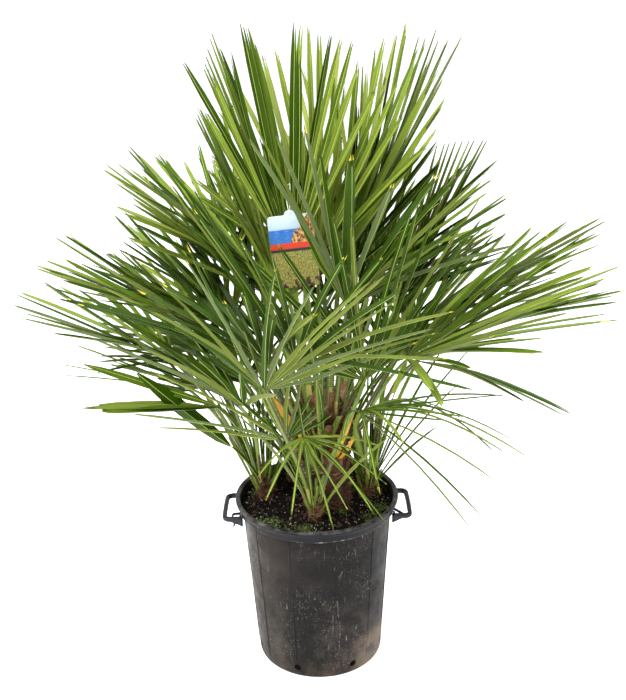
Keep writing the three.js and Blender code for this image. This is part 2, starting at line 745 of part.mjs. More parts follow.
function buildPalm() {
  const palm = new THREE.Group();
  addNode(palm, "pot", potBody(), "pot");
  addNode(palm, "pot_handle_right", handleBody(1), "pot");
  addNode(palm, "pot_handle_left", handleBody(-1), "pot");
  addNode(palm, "soil", soilBody(), "soil");

  const spaces = keepOuts();
  const suckers = Object.entries(STEMS).filter(([name]) => name !== "trunk");
  const stemCuts = {};
  for (const [name, stem] of Object.entries(STEMS)) stemCuts[name] = stemBody(stem, GAP);
  for (const [name, stem] of suckers) addNode(palm, name, stemBody(stem), "trunk");

  const specs = [...FRONT_FRONDS, ...farFronds()];
  const fronds = [];
  specs.forEach((spec, number) => {
    const stems = Object.keys(STEMS).filter((name) => name !== spec[0]);
    const others = [...stems.map((name) => obstacle(stemCuts[name])), ...fronds.map(({ limb }) => limb)];
    fronds.push(placeLimb(spec, number, stemCuts, [...others, ...spaces]));
    if (number === TAG.frond) {
      const { frame, rim, limb } = fronds[number];
      const tag = tagBody(frame, rim, limb);
      addNode(palm, "tag", tag, "tag");
      spaces.push(obstacle(tag));
    }
  });
  const limbs = fronds.map(({ limb }) => limb);
  const trunk = trunkBody(limbs);
  addNode(palm, "trunk", trunk, "trunk");

  const solids = [...spaces, obstacle(trunk), ...suckers.map(([name]) => obstacle(stemCuts[name]))];
  const leaflets = [];
  fronds.forEach((frond, number) => {
    const nearby = [...solids, ...limbs.filter((limb) => limb !== frond.limb)];
    const own = [...nearby, ...leaflets];
    const before = own.length;
    const kept = placeLeaflets(frond, number, own);
    leaflets.push(...own.slice(before));
    const { frame, rim } = frond;
    const blade = bladeBody(frame, rim, kept, number);
    const body = largest(stalkBody(frame).add(blade).subtract(stemCuts[frame.stem]));
    const name = "frond_" + frame.stem + "_" + String(number + 1).padStart(2, "0");
    addNode(palm, name, body, "frond");
  });
  return palm;
}

export default buildPalm();
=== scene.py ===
from math import atan2, cos, degrees, floor, hypot, pi, radians, sin, sqrt

import bpy
import numpy as np
from mathutils import Matrix, Vector, noise
from mathutils.geometry import tessellate_polygon


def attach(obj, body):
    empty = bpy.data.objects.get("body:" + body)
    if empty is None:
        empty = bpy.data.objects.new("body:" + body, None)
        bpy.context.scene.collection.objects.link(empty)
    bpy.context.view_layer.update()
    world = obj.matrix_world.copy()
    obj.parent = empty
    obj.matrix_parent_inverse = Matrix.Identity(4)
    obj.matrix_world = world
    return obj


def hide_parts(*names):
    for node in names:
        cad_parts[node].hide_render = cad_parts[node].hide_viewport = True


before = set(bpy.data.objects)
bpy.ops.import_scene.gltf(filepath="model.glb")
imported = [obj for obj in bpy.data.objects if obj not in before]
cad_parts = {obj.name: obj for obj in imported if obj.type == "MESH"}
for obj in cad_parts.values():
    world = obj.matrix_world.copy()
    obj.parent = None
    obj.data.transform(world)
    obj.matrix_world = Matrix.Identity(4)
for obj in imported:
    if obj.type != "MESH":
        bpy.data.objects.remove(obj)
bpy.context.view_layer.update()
MM = 0.001

# Driving sizes, as in the part's source

POT = {"height": 430, "lip": 38, "neck": 181, "foot": 156, "bevel": 7}
DRAIN = {"count": 7, "first": -21.5, "radius": 9, "height": 27}
HANDLE = {"height": 395, "half_span": 68, "outer": 231, "thick": 11, "tall": 12}
SOIL_TOP = 408

STEMS = {
    "trunk": {"foot": (28, 12), "top": (22, -10), "height": 282, "radii": (62, 50, 34)},
    "sucker_left": {"foot": (-126, 28), "top": (-132, 26), "height": 70, "radii": (30, 25, 17)},
    "sucker_front": {"foot": (-4, -88), "top": (-6, -96), "height": 60, "radii": (25, 21, 15)},
    "sucker_right": {"foot": (124, 26), "top": (130, 30), "height": 70, "radii": (29, 24, 17)},
    "sucker_back": {"foot": (-50, 122), "top": (-56, 132), "height": 80, "radii": (33, 27, 18)},
}
SUCKERS = [name for name in STEMS if name != "trunk"]
FLARE_END = 0.22
CROWN_START = 0.7
STUB = {"count": 16, "length": 44, "width": 17, "depth": 10, "lowest": 30, "highest": 150, "rise": 52}
TRIMMED = [(-96, 226, 96), (-68, 196, 84), (-128, 206, 70)]

STALK = {"foot_width": 15, "foot_depth": 9, "hub_width": 9, "hub_depth": 6, "sink": 9, "nose": 12}
PALM_SHARE = 0.24
PALM_KEEL = 5.5
LEAFLET_TAPER = 0.18
DROOP_SPREAD = 0.03
LENGTH_SPREAD = 0.07
TILT_SPREAD = 3
TILTS = (0, 4, -4, 8, -8, 13, -13, 18)
REACHES = (1, 0.86, 0.7)
SHIFT_TRIES = 40

# Stem, hub place, heading and pitch of the blade's middle line, roll, fold, longest leaflet, half spread,
# leaflets, droop
FRONT_FRONDS = [
    ("trunk", (-42, 13, 1012), 109, 83, 15, 21, 530, 28, 13, 0.04),
    ("trunk", (78, -72, 928), 272, 48, 20, 39, 499, 71, 15, 0.05),
    ("trunk", (210, -86, 808), 352, 23, -4, 16, 505, 86, 18, 0.07),
    ("trunk", (-101, -78, 797), 194, 27, -1, 29, 554, 76, 16, 0.05),
    ("sucker_front", (-104, -267, 810), 258, 49, 3, 29, 454, 101, 13, 0.07),
    ("trunk", (-27, -230, 686), 296, -18, -2, 14, 285, 62, 9, 0.16),
    ("sucker_right", (98, -139, 704), 327, 16, 12, 8, 356, 67, 10, 0.26),
    ("trunk", (197, 89, 867), 33, 36, 4, 22, 341, 46, 13, 0.05),
    ("trunk", (-140, 39, 1002), 164, 39, -12, 18, 356, 38, 13, 0.05),
    ("trunk", (-186, -17, 867), 177, 36, -1, 17, 396, 55, 12, 0.05),
    ("sucker_left", (-330, 22, 781), 172, 19, -5, 21, 408, 62, 14, 0.05),
    ("sucker_left", (-214, -75, 695), 168, 11, 24, 18, 387, 26, 6, 0.05),
    ("trunk", (-38, -128, 818), 238, 52, 16, 23, 550, 77, 14, 0.05),
    ("trunk", (70, 101, 984), 46, 68, 5, 15, 560, 39, 14, 0.05),
    ("trunk", (112, 179, 980), 33, 65, 20, 21, 580, 36, 13, 0.05),
    ("trunk", (16, 82, 994), 80, 88, 26, 8, 520, 49, 13, 0.05),
    ("trunk", (275, 163, 811), 12, 22, 17, 15, 547, 52, 12, 0.05),
    ("trunk", (-215, 125, 864), 160, 36, -9, 19, 378, 61, 13, 0.05),
    ("sucker_left", (-312, 102, 710), 176, 16, 6, 20, 363, 59, 12, 0.05),
    ("sucker_right", (227, -15, 777), 341, -4, 21, 5, 367, 23, 5, 0.2),
    ("sucker_left", (-160, -115, 712), 209, 39, 7, 26, 509, 62, 11, 0.05),
    ("sucker_front", (108, -140, 707), 305, 68, 6, 19, 511, 78, 11, 0.05),
    ("trunk", (-66, -148, 640), 257, 73, -23, 18, 390, 82, 10, 0.05),
    ("trunk", (-280, 81, 847), 165, 34, -4, 22, 327, 52, 12, 0.05),
    ("trunk", (-239, -76, 882), 199, 28, -5, 23, 431, 42, 12, 0.05),
    ("trunk", (306, 31, 820), 8, 18, -6, 16, 451, 43, 12, 0.05),
]
# Stem, fronds, first and last heading, rise and length of the stalk, pitch, then longest leaflet, half spread
# and leaflets
FAR_TIERS = [
    ("trunk", 4, (55, 165), 62, 300, 62, (420, 52, 13)),
    ("trunk", 5, (35, 160), 50, 350, 42, (420, 60, 13)),
    ("trunk", 4, (45, 150), 30, 330, 18, (410, 66, 13)),
    ("sucker_back", 5, (60, 190), 50, 300, 14, (340, 72, 12)),
    ("sucker_right", 3, (25, 85), 60, 300, 30, (320, 66, 12)),
]
FAR_FOLD = 20
FAR_DROOP = 0.05

TAG = {"frond": 0, "leaflet": 6, "width": 102, "height": 168, "thick": 1.6, "lean": 5}
HANG = {"drop": 58, "shift": 4}
CORD = {"above": 46, "radius": 0.95, "behind": 2}
LEAFLET_DEPTH = 5.2

# Tints of the fronds, in the order of the tables, and the fronds whose leaflets end in yellow
TINTS = """mid olive mid deep dull mid bright deep mid deep mid olive mid bright olive bright olive mid olive deep
    mid bright mid olive bright mid""".split()
FAR_TINTS = ["mid", "deep", "olive", "mid", "bright"]
YELLOW_TIPPED = {1, 2, 3, 4, 5, 6, 9, 12}


# Small tools: vectors and repeatable variation

def heading(turn, pitch=0.0):
    turn, pitch = radians(turn), radians(pitch)
    return np.array([cos(pitch) * cos(turn), cos(pitch) * sin(turn), sin(pitch)])


def unit(vector):
    return vector / np.linalg.norm(vector)


def units(vectors):
    return vectors / np.linalg.norm(vectors, axis=-1, keepdims=True)


def vary(frond, leaflet, kind):
    wave = sin(frond * 12.9898 + leaflet * 78.233 + kind * 37.719) * 43758.5453
    return 2 * (wave - floor(wave)) - 1


def smooth(low, high, value):
    share = np.clip((value - low) / (high - low), 0, 1)
    return share * share * (3 - 2 * share)


def between(rng, low, high):
    return low + (high - low) * rng.random()


def up(height):
    return np.array([0, 0, height])


def arc(centre, radius, first, step, count):
    """Places on a circle, from the first angle on, in degrees."""
    turns = np.radians(first + step * np.arange(count))
    return [(centre[0] + radius * cos(t), centre[1] + radius * sin(t)) for t in turns]


def framed(line, side, stops=1):
    """Ways, sides and tops along a line whose sides keep as near to the given one as they can."""
    ways = units(np.gradient(line, stops, axis=0))
    sides = units(side - ways * (ways @ side)[:, None])
    return ways, sides, np.cross(sides, ways)


# Joined meshes

def walls(steps, size):
    """The faces between rings of the same size that follow one another."""
    ring = np.arange(size)
    square = np.stack([ring, (ring + 1) % size, (ring + 1) % size + size, ring + size], axis=1)
    return [tuple(face) for k in range(steps - 1) for face in (square + k * size).tolist()]


def new_mesh(name, points, faces):
    mesh = bpy.data.meshes.new(name)
    mesh.from_pydata(points, [], faces)
    return mesh


def new_object(name, data):
    obj = bpy.data.objects.new(name, data)
    bpy.context.scene.collection.objects.link(obj)
    return obj


class Mesher:
    """Gathers closed bodies, given in millimetres, and joins them into one mesh in metres."""

    def __init__(self):
        self.points, self.faces, self.looks, self.grain = [], [], [], []
        self.count = 0

    def body(self, points, faces, looks, grain=None):
        self.points.append(np.asarray(points, float))
        self.grain.append(np.zeros((len(points), 2)) if grain is None else np.asarray(grain, float))
        self.faces.extend([tuple(self.count + i for i in face) for face in faces])
        self.looks.extend(looks)
        self.count += len(points)

    def loft(self, rings, look=0, tip=None, grain=None, end_look=None, wall_looks=None):
        """A closed skin over rings that run clockwise as seen along the way, with a flat cap or a tip."""
        rings = np.asarray(rings, float)
        steps, size = rings.shape[:2]
        faces = [tuple(range(size - 1, -1, -1))] + walls(steps, size)
        points = rings.reshape(-1, 3)
        grain = np.zeros((len(points), 2)) if grain is None else np.asarray(grain, float).reshape(-1, 2)
        looks = [look] + (wall_looks or [look] * (len(faces) - 1))
        last = (steps - 1) * size
        if tip is None:
            faces.append(tuple(last + i for i in range(size)))
        else:
            faces += [(last + i, last + (i + 1) % size, steps * size) for i in range(size)]
            points, grain = np.vstack([points, tip]), np.vstack([grain, grain[-1]])
        looks += [look] * (len(faces) - len(looks))
        looks[-1] = look if end_look is None else end_look
        self.body(points, faces, looks, grain)

    def piece(self, name, materials, slot, nodes, sharp=38):
        mesh = new_mesh(name, np.vstack(self.points) * MM, self.faces)
        for material in materials:
            mesh.materials.append(material)
        mesh.polygons.foreach_set("material_index", self.looks)
        corners = np.empty(len(mesh.loops), np.int32)
        mesh.loops.foreach_get("vertex_index", corners)
        mesh.uv_layers.new(name="grain").data.foreach_set("uv", np.vstack(self.grain)[corners].ravel())
        mesh.polygons.foreach_set("use_smooth", np.ones(len(mesh.polygons), bool))
        mesh.set_sharp_from_angle(angle=radians(sharp))
        mesh.update()
        obj = new_object(name, mesh)
        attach(obj, "root")
        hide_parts(*nodes)
        return obj


def sweep(mesher, path, section):
    """A bar of constant section, given as (outward, up) pairs, along a path that lies nearly flat."""
    path = np.asarray(path, float)
    ways = units(np.gradient(path, axis=0))
    sides = units(np.cross(ways, up(1.0)))
    ups = np.cross(sides, ways)
    section = np.asarray(section, float)
    mesher.loft(path[:, None] + sides[:, None] * section[None, :, :1] + ups[:, None] * section[None, :, 1:])


def oval(width, height, count=12, square=2.0):
    """A section between an oval and a rounded rectangle, clockwise as seen along the way."""
    turns = -2 * np.pi * np.arange(count) / count
    co, si = np.cos(turns), np.sin(turns)
    return np.stack([
        np.sign(co) * np.abs(co) ** (2 / square) * width / 2,
        np.sign(si) * np.abs(si) ** (2 / square) * height / 2,
    ], axis=1)


# Materials

def rgb(*channels):
    """A screen colour, with channels up to 255, in linear light."""
    shares = np.array(channels) / 255
    return (*np.where(shares <= 0.04045, shares / 12.92, ((shares + 0.055) / 1.055) ** 2.4), 1)


def shade(colour, factor):
    return (*[min(1.0, channel * factor) for channel in colour[:3]], 1)


class Look:
    """A node material under construction. Screen colours have three channels, linear ones have four."""

    def __init__(self, name, roughness=0.5, **sockets):
        self.material = bpy.data.materials.new(name)
        self.material.use_nodes = True
        self.tree = self.material.node_tree
        self.shader = self.tree.nodes["Principled BSDF"]
        for socket, value in {"Roughness": roughness, **sockets}.items():
            self.shader.inputs[socket.replace("_", " ")].default_value = value

    def node(self, kind, sources, **settings):
        node = self.tree.nodes.new("ShaderNode" + kind)
        for name, value in settings.items():
            setattr(node, name, value)
        for socket, value in sources.items():
            if isinstance(value, bpy.types.NodeSocket):
                self.tree.links.new(value, node.inputs[socket])
            else:
                node.inputs[socket].default_value = value
        return node

    def place(self, scale=(1, 1, 1), grain=False, turn=(0, 0, 0)):
        source = self.node("UVMap", {}, uv_map="grain") if grain else self.node("TexCoord", {})
        place = source.outputs["UV" if grain else "Object"]
        return self.node("Mapping", {"Vector": place, "Scale": scale, "Rotation": turn}).outputs[0]

    def noise(self, scale, detail=3.0, rough=0.55, place=None, distortion=0.0):
        return self.node("TexNoise", {"Vector": place or self.place(), "Scale": scale, "Detail": detail,
                                      "Roughness": rough, "Distortion": distortion}).outputs[0]

    def axis(self, which, place=None):
        return self.node("SeparateXYZ", {0: place or self.place()}).outputs[which]

    def ramp(self, value, *stops):
        node = self.node("ValToRGB", {0: value})
        elements = node.color_ramp.elements
        while len(elements) < len(stops):
            elements.new(1.0)
        for element, (position, colour) in zip(elements, stops):
            element.position = position
            element.color = colour if len(colour) == 4 else rgb(*colour)
        return node.outputs[0]

    def mask(self, value, low, high):
        return self.node("MapRange", {"Value": value, "From Min": low, "From Max": high}).outputs[0]

    def maths(self, operation, first, second):
        return self.node("Math", {0: first, 1: second}, operation=operation).outputs[0]

    def plus(self, first, second):
        return self.maths("ADD", first, second)

    def times(self, product, *values):
        for value in values:
            product = self.maths("MULTIPLY", product, value)
        return product

    def mix(self, share, first, second):
        return self.node("Mix", {0: share, 6: first, 7: second}, data_type="RGBA").outputs[2]

    def tint(self, tone, colour, *shares):
        """The tone, and a screen colour laid over it by the product of the shares."""
        return self.mix(self.times(*shares), tone, rgb(*colour))

    def finish(self, colour, bump=None, strength=0.0, distance=0.0, roughness=None):
        ends = {"Base Color": colour, "Roughness": roughness}
        if bump:
            relief = self.node("Bump", {"Height": bump, "Strength": strength, "Distance": distance})
            ends["Normal"] = relief.outputs[0]
        for socket, source in ends.items():
            if source:
                self.tree.links.new(source, self.shader.inputs[socket])
        return self.material


# Screen colour of each leaf material, with its roughness and contrast where they differ from the usual
LEAF_COLOURS = {
    "leaf_dark": (24, 44, 2), "leaf_deep": (46, 70, 6), "leaf_mid": (76, 99, 22), "leaf_olive": (100, 114, 42),
    "leaf_bright": (110, 128, 44), "leaf_lime": (136, 150, 72), "under_green": (52, 76, 20, 0.5),
    "under_grey": (88, 102, 62, 0.5), "under_olive": (98, 110, 46, 0.5), "leaf_rib": (160, 172, 92, 0.5, 0.08),
    "leaf_tip_yellow": (206, 190, 70, 0.5, 0.1), "leaf_tip_dark": (74, 66, 52, 0.6, 0.2),
    "leaf_dry": (176, 150, 104, 0.65, 0.2)}
STALK_COLOURS = {
    "stalk_green": ((104, 126, 40), (140, 158, 76)), "stalk_dark": ((74, 50, 34), (104, 84, 48)),
    "stalk_pale": ((168, 168, 84), (150, 120, 70)), "stalk_spine": ((160, 158, 96), (90, 70, 44)),
    "stalk_orange": ((204, 150, 32), (122, 70, 26), 0.55)}


def leaf_look(name, red, green, blue, roughness=0.42, contrast=0.16):
    """A plain leaf colour with a faint mottle and fine lengthwise veins."""
    look, colour = Look(name, roughness, Specular_IOR_Level=0.08), rgb(red, green, blue)
    veins = look.noise(3.0, 2, place=look.place((7, 0.35, 1), grain=True))
    low, high = shade(colour, 1 - contrast), shade(colour, 1 + contrast)
    tone = look.ramp(look.noise(11, 2), (0.3, low), (0.7, high))
    tone = look.mix(look.mask(veins, 0.35, 0.75), tone, shade(colour, 1.3))
    return look.finish(tone, veins, 0.25, 0.0006)


def stalk_look(name, colour, other, roughness=0.4):
    look = Look(name, roughness)
    streak = look.noise(4.0, 3, place=look.place((5, 0.6, 1), grain=True))
    tone = look.ramp(streak, (0.34, colour), (0.62, shade(rgb(*colour), 1.15)), (0.72, other))
    return look.finish(tone, streak, 0.3, 0.0006)


def make_looks():
    looks = {name: leaf_look(name, *row) for name, row in LEAF_COLOURS.items()}
    return looks | {name: stalk_look(name, *row) for name, row in STALK_COLOURS.items()}


def bark_look(name, dark, mid, light):
    look = Look(name, 0.9)
    weave = look.noise(60, 5, 0.7, look.place((1, 1, 0.35)))
    tone = look.ramp(weave, (0.28, dark), (0.5, mid), (0.72, light))
    tone = look.mix(look.mask(look.noise(9, 3), 0.4, 0.75), tone, shade(rgb(*mid), 0.55))
    # painted shade: the bark, leaf bases and cut ends darken towards the foot of each stem
    painted_low_shade = look.times(look.mask(look.axis(2), 0.59, 0.47), 0.8)
    return look.finish(look.mix(painted_low_shade, tone, shade(rgb(*dark), 0.8)), weave, 0.8, 0.003)


def soil_look():
    look = Look("potting_soil", 0.95, Specular_IOR_Level=0.15)
    crumbs = look.noise(70, 6, 0.7)
    tone = look.ramp(crumbs, (0.3, (3, 2, 2)), (0.52, (9, 5, 4)), (0.76, (36, 24, 17)))
    tone = look.tint(tone, (9, 6, 5), look.mask(look.noise(7, 3), 0.45, 0.7))
    return look.finish(tone, crumbs, 0.9, 0.004)


def speck_look(name, dark, light, roughness=0.85):
    look = Look(name, roughness)
    grains = look.noise(150, 4, 0.65)
    return look.finish(look.ramp(grains, (0.35, dark), (0.68, light)), grains, 0.5, 0.001)


def pot_look():
    """Black moulded plastic, dusty low down, with a pale patch, rubbed places and fine scratches."""
    look = Look("pot_plastic_worn_painted_sheen", 0.5, Specular_IOR_Level=0.12)
    mask, noise_at = look.mask, look.noise
    across, depth, height = (look.axis(k) for k in range(3))
    cloud, grime = noise_at(6, 5, 0.6), noise_at(26, 6, 0.65)
    tone = look.ramp(cloud, (0.3, (9, 8, 8)), (0.5, (18, 15, 15)), (0.74, (40, 35, 33)))
    # a painted sheen, paler and browner towards the left, and dust at the foot
    tone = look.tint(tone, (64, 53, 43), mask(across, -0.05, -0.19), mask(cloud, 0.25, 0.65), 0.7)
    tone = look.tint(tone, (96, 78, 58), mask(height, 0.06, 0.0), mask(grime, 0.4, 0.7), 0.5)
    # a pale patch with a ragged edge, low on the front right, and a plum tinge on the right
    ragged = look.plus(height, look.times(noise_at(22, 4, 0.7), 0.08))
    tone = look.tint(tone, (150, 132, 108), mask(across, 0.07, 0.11), mask(ragged, 0.15, 0.11),
                     mask(depth, 0.03, -0.07), mask(grime, 0.34, 0.5), 0.9)
    tone = look.tint(tone, (38, 25, 30), mask(across, 0.0, 0.05), mask(noise_at(5, 4), 0.45, 0.6), 0.55)
    scratch = mask(noise_at(5, 3, 0.6, look.place((40, 40, 5)), 0.6), 0.63, 0.7)
    for turn, scale in (((0.5, 0.6, 0.4), (60, 6, 60)), ((-0.4, -0.7, 0.9), (70, 7, 70))):
        slant = mask(noise_at(4, 3, 0.6, look.place(scale, turn=turn), 0.4), 0.63, 0.7)
        scratch = look.maths("MAXIMUM", scratch, slant)
    tone = look.tint(tone, (150, 146, 138), scratch, mask(noise_at(9, 2), 0.4, 0.6), 0.5)
    rubbed = mask(noise_at(14, 6, 0.75), 0.5, 0.62)
    tone = look.tint(tone, (92, 88, 76), rubbed, mask(height, 0.3, 0.1), 0.24)
    # the lip, pale nicks along its foot at the front, and its worn edge
    tone = look.tint(tone, (22, 24, 29), mask(height, 0.3965, 0.3995), 0.6)
    nick = look.times(mask(height, 0.3985, 0.4), mask(height, 0.4035, 0.402))
    front = look.times(mask(across, -0.06, -0.03), mask(across, 0.1, 0.07))
    tone = look.tint(tone, (176, 174, 168), nick, front, mask(noise_at(60, 4, 0.7), 0.48, 0.58), 0.55)
    tone = look.tint(tone, (112, 110, 106), mask(height, 0.4235, 0.429), mask(grime, 0.42, 0.58), 0.6)
    return look.finish(tone, grime, 0.12, 0.0015, look.plus(mask(grime, 0.2, 1.3), 0.22))


def handle_look():
    look = Look("handle_plastic", 0.45, Specular_IOR_Level=0.2)
    cloud = look.noise(30, 5, 0.6)
    tone = look.ramp(cloud, (0.3, (30, 31, 34)), (0.6, (44, 46, 50)), (0.78, (84, 86, 88)))
    return look.finish(tone, cloud, 0.2, 0.001)


def print_look():
    """The tag's generic print: sky, sea, rocky shore, plain red and dark bands, and a green thicket."""
    look = Look("tag_print", 0.3)
    place = look.place(grain=True)
    x, y, haze = look.axis(0, place), look.axis(1, place), look.noise(6, 3, place=place)
    sky = look.ramp(look.plus(y, look.times(haze, 0.05)), (0.82, (176, 196, 214)), (1.0, (206, 228, 230)))
    waves = look.noise(9, 3, place=look.place((1, 9, 1), grain=True))
    sea = look.ramp(waves, (0.3, (34, 88, 168)), (0.55, (52, 116, 198)), (0.75, (110, 158, 216)))
    stones = look.node("TexVoronoi", {"Vector": place, "Scale": 22}).outputs["Distance"]
    rocks = look.ramp(stones, (0.15, (52, 34, 24)), (0.4, (132, 88, 50)), (0.7, (214, 170, 108)))
    leaves = look.noise(34, 5, 0.75, place)
    thicket = look.ramp(leaves, (0.34, (64, 52, 34)), (0.5, (138, 134, 62)), (0.66, (198, 192, 120)))
    shadow = look.plus(look.noise(7, 2, place=place), look.times(y, -0.9))
    thicket = look.tint(thicket, (66, 42, 44), look.mask(shadow, 0.42, 0.52))
    shore = look.plus(look.plus(x, look.times(haze, 0.3)), look.times(y, -1.25))
    tone = look.mix(look.mask(y, 0.805, 0.815), sea, sky)
    tone = look.mix(look.mask(shore, -0.22, -0.19), tone, rocks)
    tone = look.tint(tone, (214, 66, 42), look.mask(y, 0.625, 0.62))
    tone = look.tint(tone, (40, 50, 44), look.mask(y, 0.545, 0.54))
    return look.finish(look.mix(look.mask(y, 0.505, 0.50), tone, thicket), haze, 0.05, 0.0004)


# Stems

def stem_centre(stem, z):
    share = (z - SOIL_TOP) / stem["height"]
    foot, top = np.array(stem["foot"], float), np.array(stem["top"], float)
    return np.array([*(foot + (top - foot) * share), z])


def stem_radius(stem, z):
    foot, middle, top = stem["radii"]
    share = (z - SOIL_TOP) / stem["height"]
    flare = (foot - middle) * max(0, 1 - share / FLARE_END) ** 2
    in_crown = max(0, (share - CROWN_START) / (1 - CROWN_START))
    return middle + flare - (middle - top) * in_crown**2


# The rule of the fronds, as in the part's source

def far_fronds():
    rows = []
    for row, (stem_name, count, turns, rise, stalk, pitch, (leaf, spread, leaflets)) in enumerate(FAR_TIERS):
        stem = STEMS[stem_name]
        top = stem_centre(stem, SOIL_TOP + stem["height"])
        for k in range(count):
            turn = turns[0] + (turns[1] - turns[0]) * (k + 0.5 + 0.25 * vary(row, k, 5)) / count
            length = stalk * (1 + 0.08 * vary(row, k, 6))
            hub = top + heading(turn, rise + 4 * vary(row, k, 7)) * length
            rows.append((stem_name, tuple(hub), turn, pitch + 6 * vary(row, k, 8), 12 * vary(row, k, 10),
                         FAR_FOLD, leaf * (1 + 0.06 * vary(row, k, 9)), spread, leaflets, FAR_DROOP))
    return rows


class Frond:
    def __init__(self, spec, number, shift):
        (self.stem_name, place, turn, pitch, roll, self.fold,
         self.leaf, self.spread, self.leaflets, self.droop) = spec
        self.number = number
        self.stem = STEMS[self.stem_name]
        # the source tries places on a slow spiral round the stem until the frond is clear
        lift, spin = 5 * shift * cos(2.4 * shift), radians(1.1 * shift * sin(2.4 * shift))
        middle = np.array([*self.stem["top"], 0])
        dx, dy, z = np.array(place) - middle
        self.hub = middle + [dx * cos(spin) - dy * sin(spin), dx * sin(spin) + dy * cos(spin), z + lift]
        self.axis, level = heading(turn, pitch), heading(turn - 90)
        self.side = level * cos(radians(roll)) + np.cross(level, self.axis) * sin(radians(roll))
        self.normal = np.cross(self.side, self.axis)
        self.radius = PALM_SHARE * self.leaf
        self.step = 2 * self.spread / (self.leaflets - 1)

    def direction(self, angle):
        turn, fold = radians(angle), radians(self.fold)
        out, rise = sin(turn) * cos(fold), abs(sin(turn)) * sin(fold)
        return unit(self.axis * cos(turn) + self.side * out + self.normal * rise)

    def leaf_frame(self, angle):
        """Direction, across and over at an angle to the middle line."""
        direction = self.direction(angle)
        across = unit(self.direction(angle + 1) - self.direction(angle - 1))
        return direction, across, unit(np.cross(across, direction))

    def leaflet(self, index):
        """Direction, across, over, length, lean and droop of the leaflet with this number."""
        angle = -self.spread + self.step * index
        length = self.leaf * (1 - LEAFLET_TAPER * (angle / self.spread) ** 2)
        length *= 1 + LENGTH_SPREAD * vary(self.number, index, 1)
        lean = TILT_SPREAD * vary(self.number, index, 2)
        droop = self.droop + DROOP_SPREAD * vary(self.number, index, 3)
        return *self.leaf_frame(angle), length, lean, droop

    def tip(self, index, tilt, reach):
        direction, _, over, length, lean, droop = self.leaflet(index)
        turn = radians(tilt + lean)
        free = direction * cos(turn) + over * sin(turn)
        point = self.hub + direction * self.radius + free * max(length * reach - self.radius, 20)
        point[2] -= droop * length * reach
        return point

    def notches(self):
        angles = [-self.spread + self.step * (i - 0.5) for i in range(self.leaflets + 1)]
        return [self.hub + self.direction(angle) * self.radius for angle in angles]

    def node(self):
        return f"frond_{self.stem_name}_{self.number + 1:02d}"

    def stalk(self, steps):
        """Places, ways, sides and tops along the middle line of the stalk, from its root to past the hub."""
        top = stem_centre(self.stem, SOIL_TOP + self.stem["height"])
        way = self.hub - top
        flat = hypot(way[0], way[1])
        rise = atan2(way[2], flat)
        share = 0.36 + 0.6 * min(max(rise / radians(86), 0), 1)
        z = SOIL_TOP + self.stem["height"] * share
        out = np.array([way[0] / flat, way[1] / flat, 0])
        self.root = stem_centre(self.stem, z) + out * (stem_radius(self.stem, z) - STALK["sink"])
        length = np.linalg.norm(self.root - self.hub)
        lift = min(rise + radians(10), radians(84))
        start = out * cos(lift) + up(sin(lift))
        finish = unit(unit(self.hub - self.root) * 0.6 + self.axis * 0.4)
        a, d = self.root, self.hub + self.axis * STALK["nose"]
        b, c = self.root + start * length / 3, self.hub - finish * length / 3
        t = np.linspace(0, 1, steps)[:, None]
        u = 1 - t
        places = a * u**3 + 3 * b * t * u**2 + 3 * c * t**2 * u + d * t**3
        ways = units((b - a) * u**2 + 2 * (c - b) * t * u + (d - c) * t**2)
        sides = units(self.side - ways * (ways @ self.side)[:, None])
        return places, ways, sides, np.cross(sides, ways)


def node_points(name):
    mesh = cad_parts[name].data
    points = np.empty(len(mesh.vertices) * 3)
    mesh.vertices.foreach_get("co", points)
    return points.reshape(-1, 3) / MM


def nearest(points, place):
    return np.linalg.norm(points - place, axis=1).min()


def placed_fronds():
    """Each frond at the place, and with the leaflets, that the part's source found clear."""
    fronds = []
    for number, spec in enumerate(FRONT_FRONDS + far_fronds()):
        tries = [Frond(spec, number, shift) for shift in range(SHIFT_TRIES)]
        points = node_points(tries[0].node())
        frond = max(tries, key=lambda f: sum(nearest(points, notch) < 0.5 for notch in f.notches()))
        frond.kept = []
        for index in range(frond.leaflets):
            options = [(tilt, reach) for reach in REACHES for tilt in TILTS]
            gaps = [nearest(points, frond.tip(index, *option)) for option in options]
            best = int(np.argmin(gaps))
            frond.kept.append(options[best] if gaps[best] < 0.8 else None)
        fronds.append(frond)
    return fronds


# Leaflets: folded blades with a pale rib and a split tip

# By number of the frond, from 0: how many times the leaflets of the part's source it has
FINER = {0: 1.25, 1: 1.15, 2: 1.35, 3: 1.35, 4: 1.25, 6: 1.1, 7: 1.3, 8: 1.35, 9: 1.2, 10: 1.25, 12: 1.2,
         13: 1.25, 14: 1.25, 15: 1.25, 16: 1.5, 17: 0.85, 18: 0.65, 20: 1.0, 21: 1.5, 22: 1.2, 23: 0.75,
         24: 1.1, 25: 1.5}
FAR_FINER = 1.3
# how many times as long, and the range of their droop
LONGER = {0: 1.05, 5: 0.76, 6: 1.2, 7: 0.93, 8: 1.06, 14: 1.03, 17: 0.88, 20: 0.9, 23: 0.78, 25: 0.94,
          11: 0.84, 33: 0.96, 34: 0.9, 43: 0.86}
LOOSE_DROOP = {6: (0.2, 2.8), 5: (0.8, 1.8)}
# share of the palm's radius along which they are joined
FUSED = {11: 0.95}
MOST_FUSED = 0.42
FREE_STOPS = np.array([0.05, 0.13, 0.24, 0.37, 0.51, 0.65, 0.78])
LEAF = {"half": 6.3, "wider": 0.008, "widest": 0.3, "taper": 0.7, "thick": 0.55, "rib": 0.5, "root": 0.78,
        "waist": 1.4, "bulge": 0.035, "narrowing": 0.76}
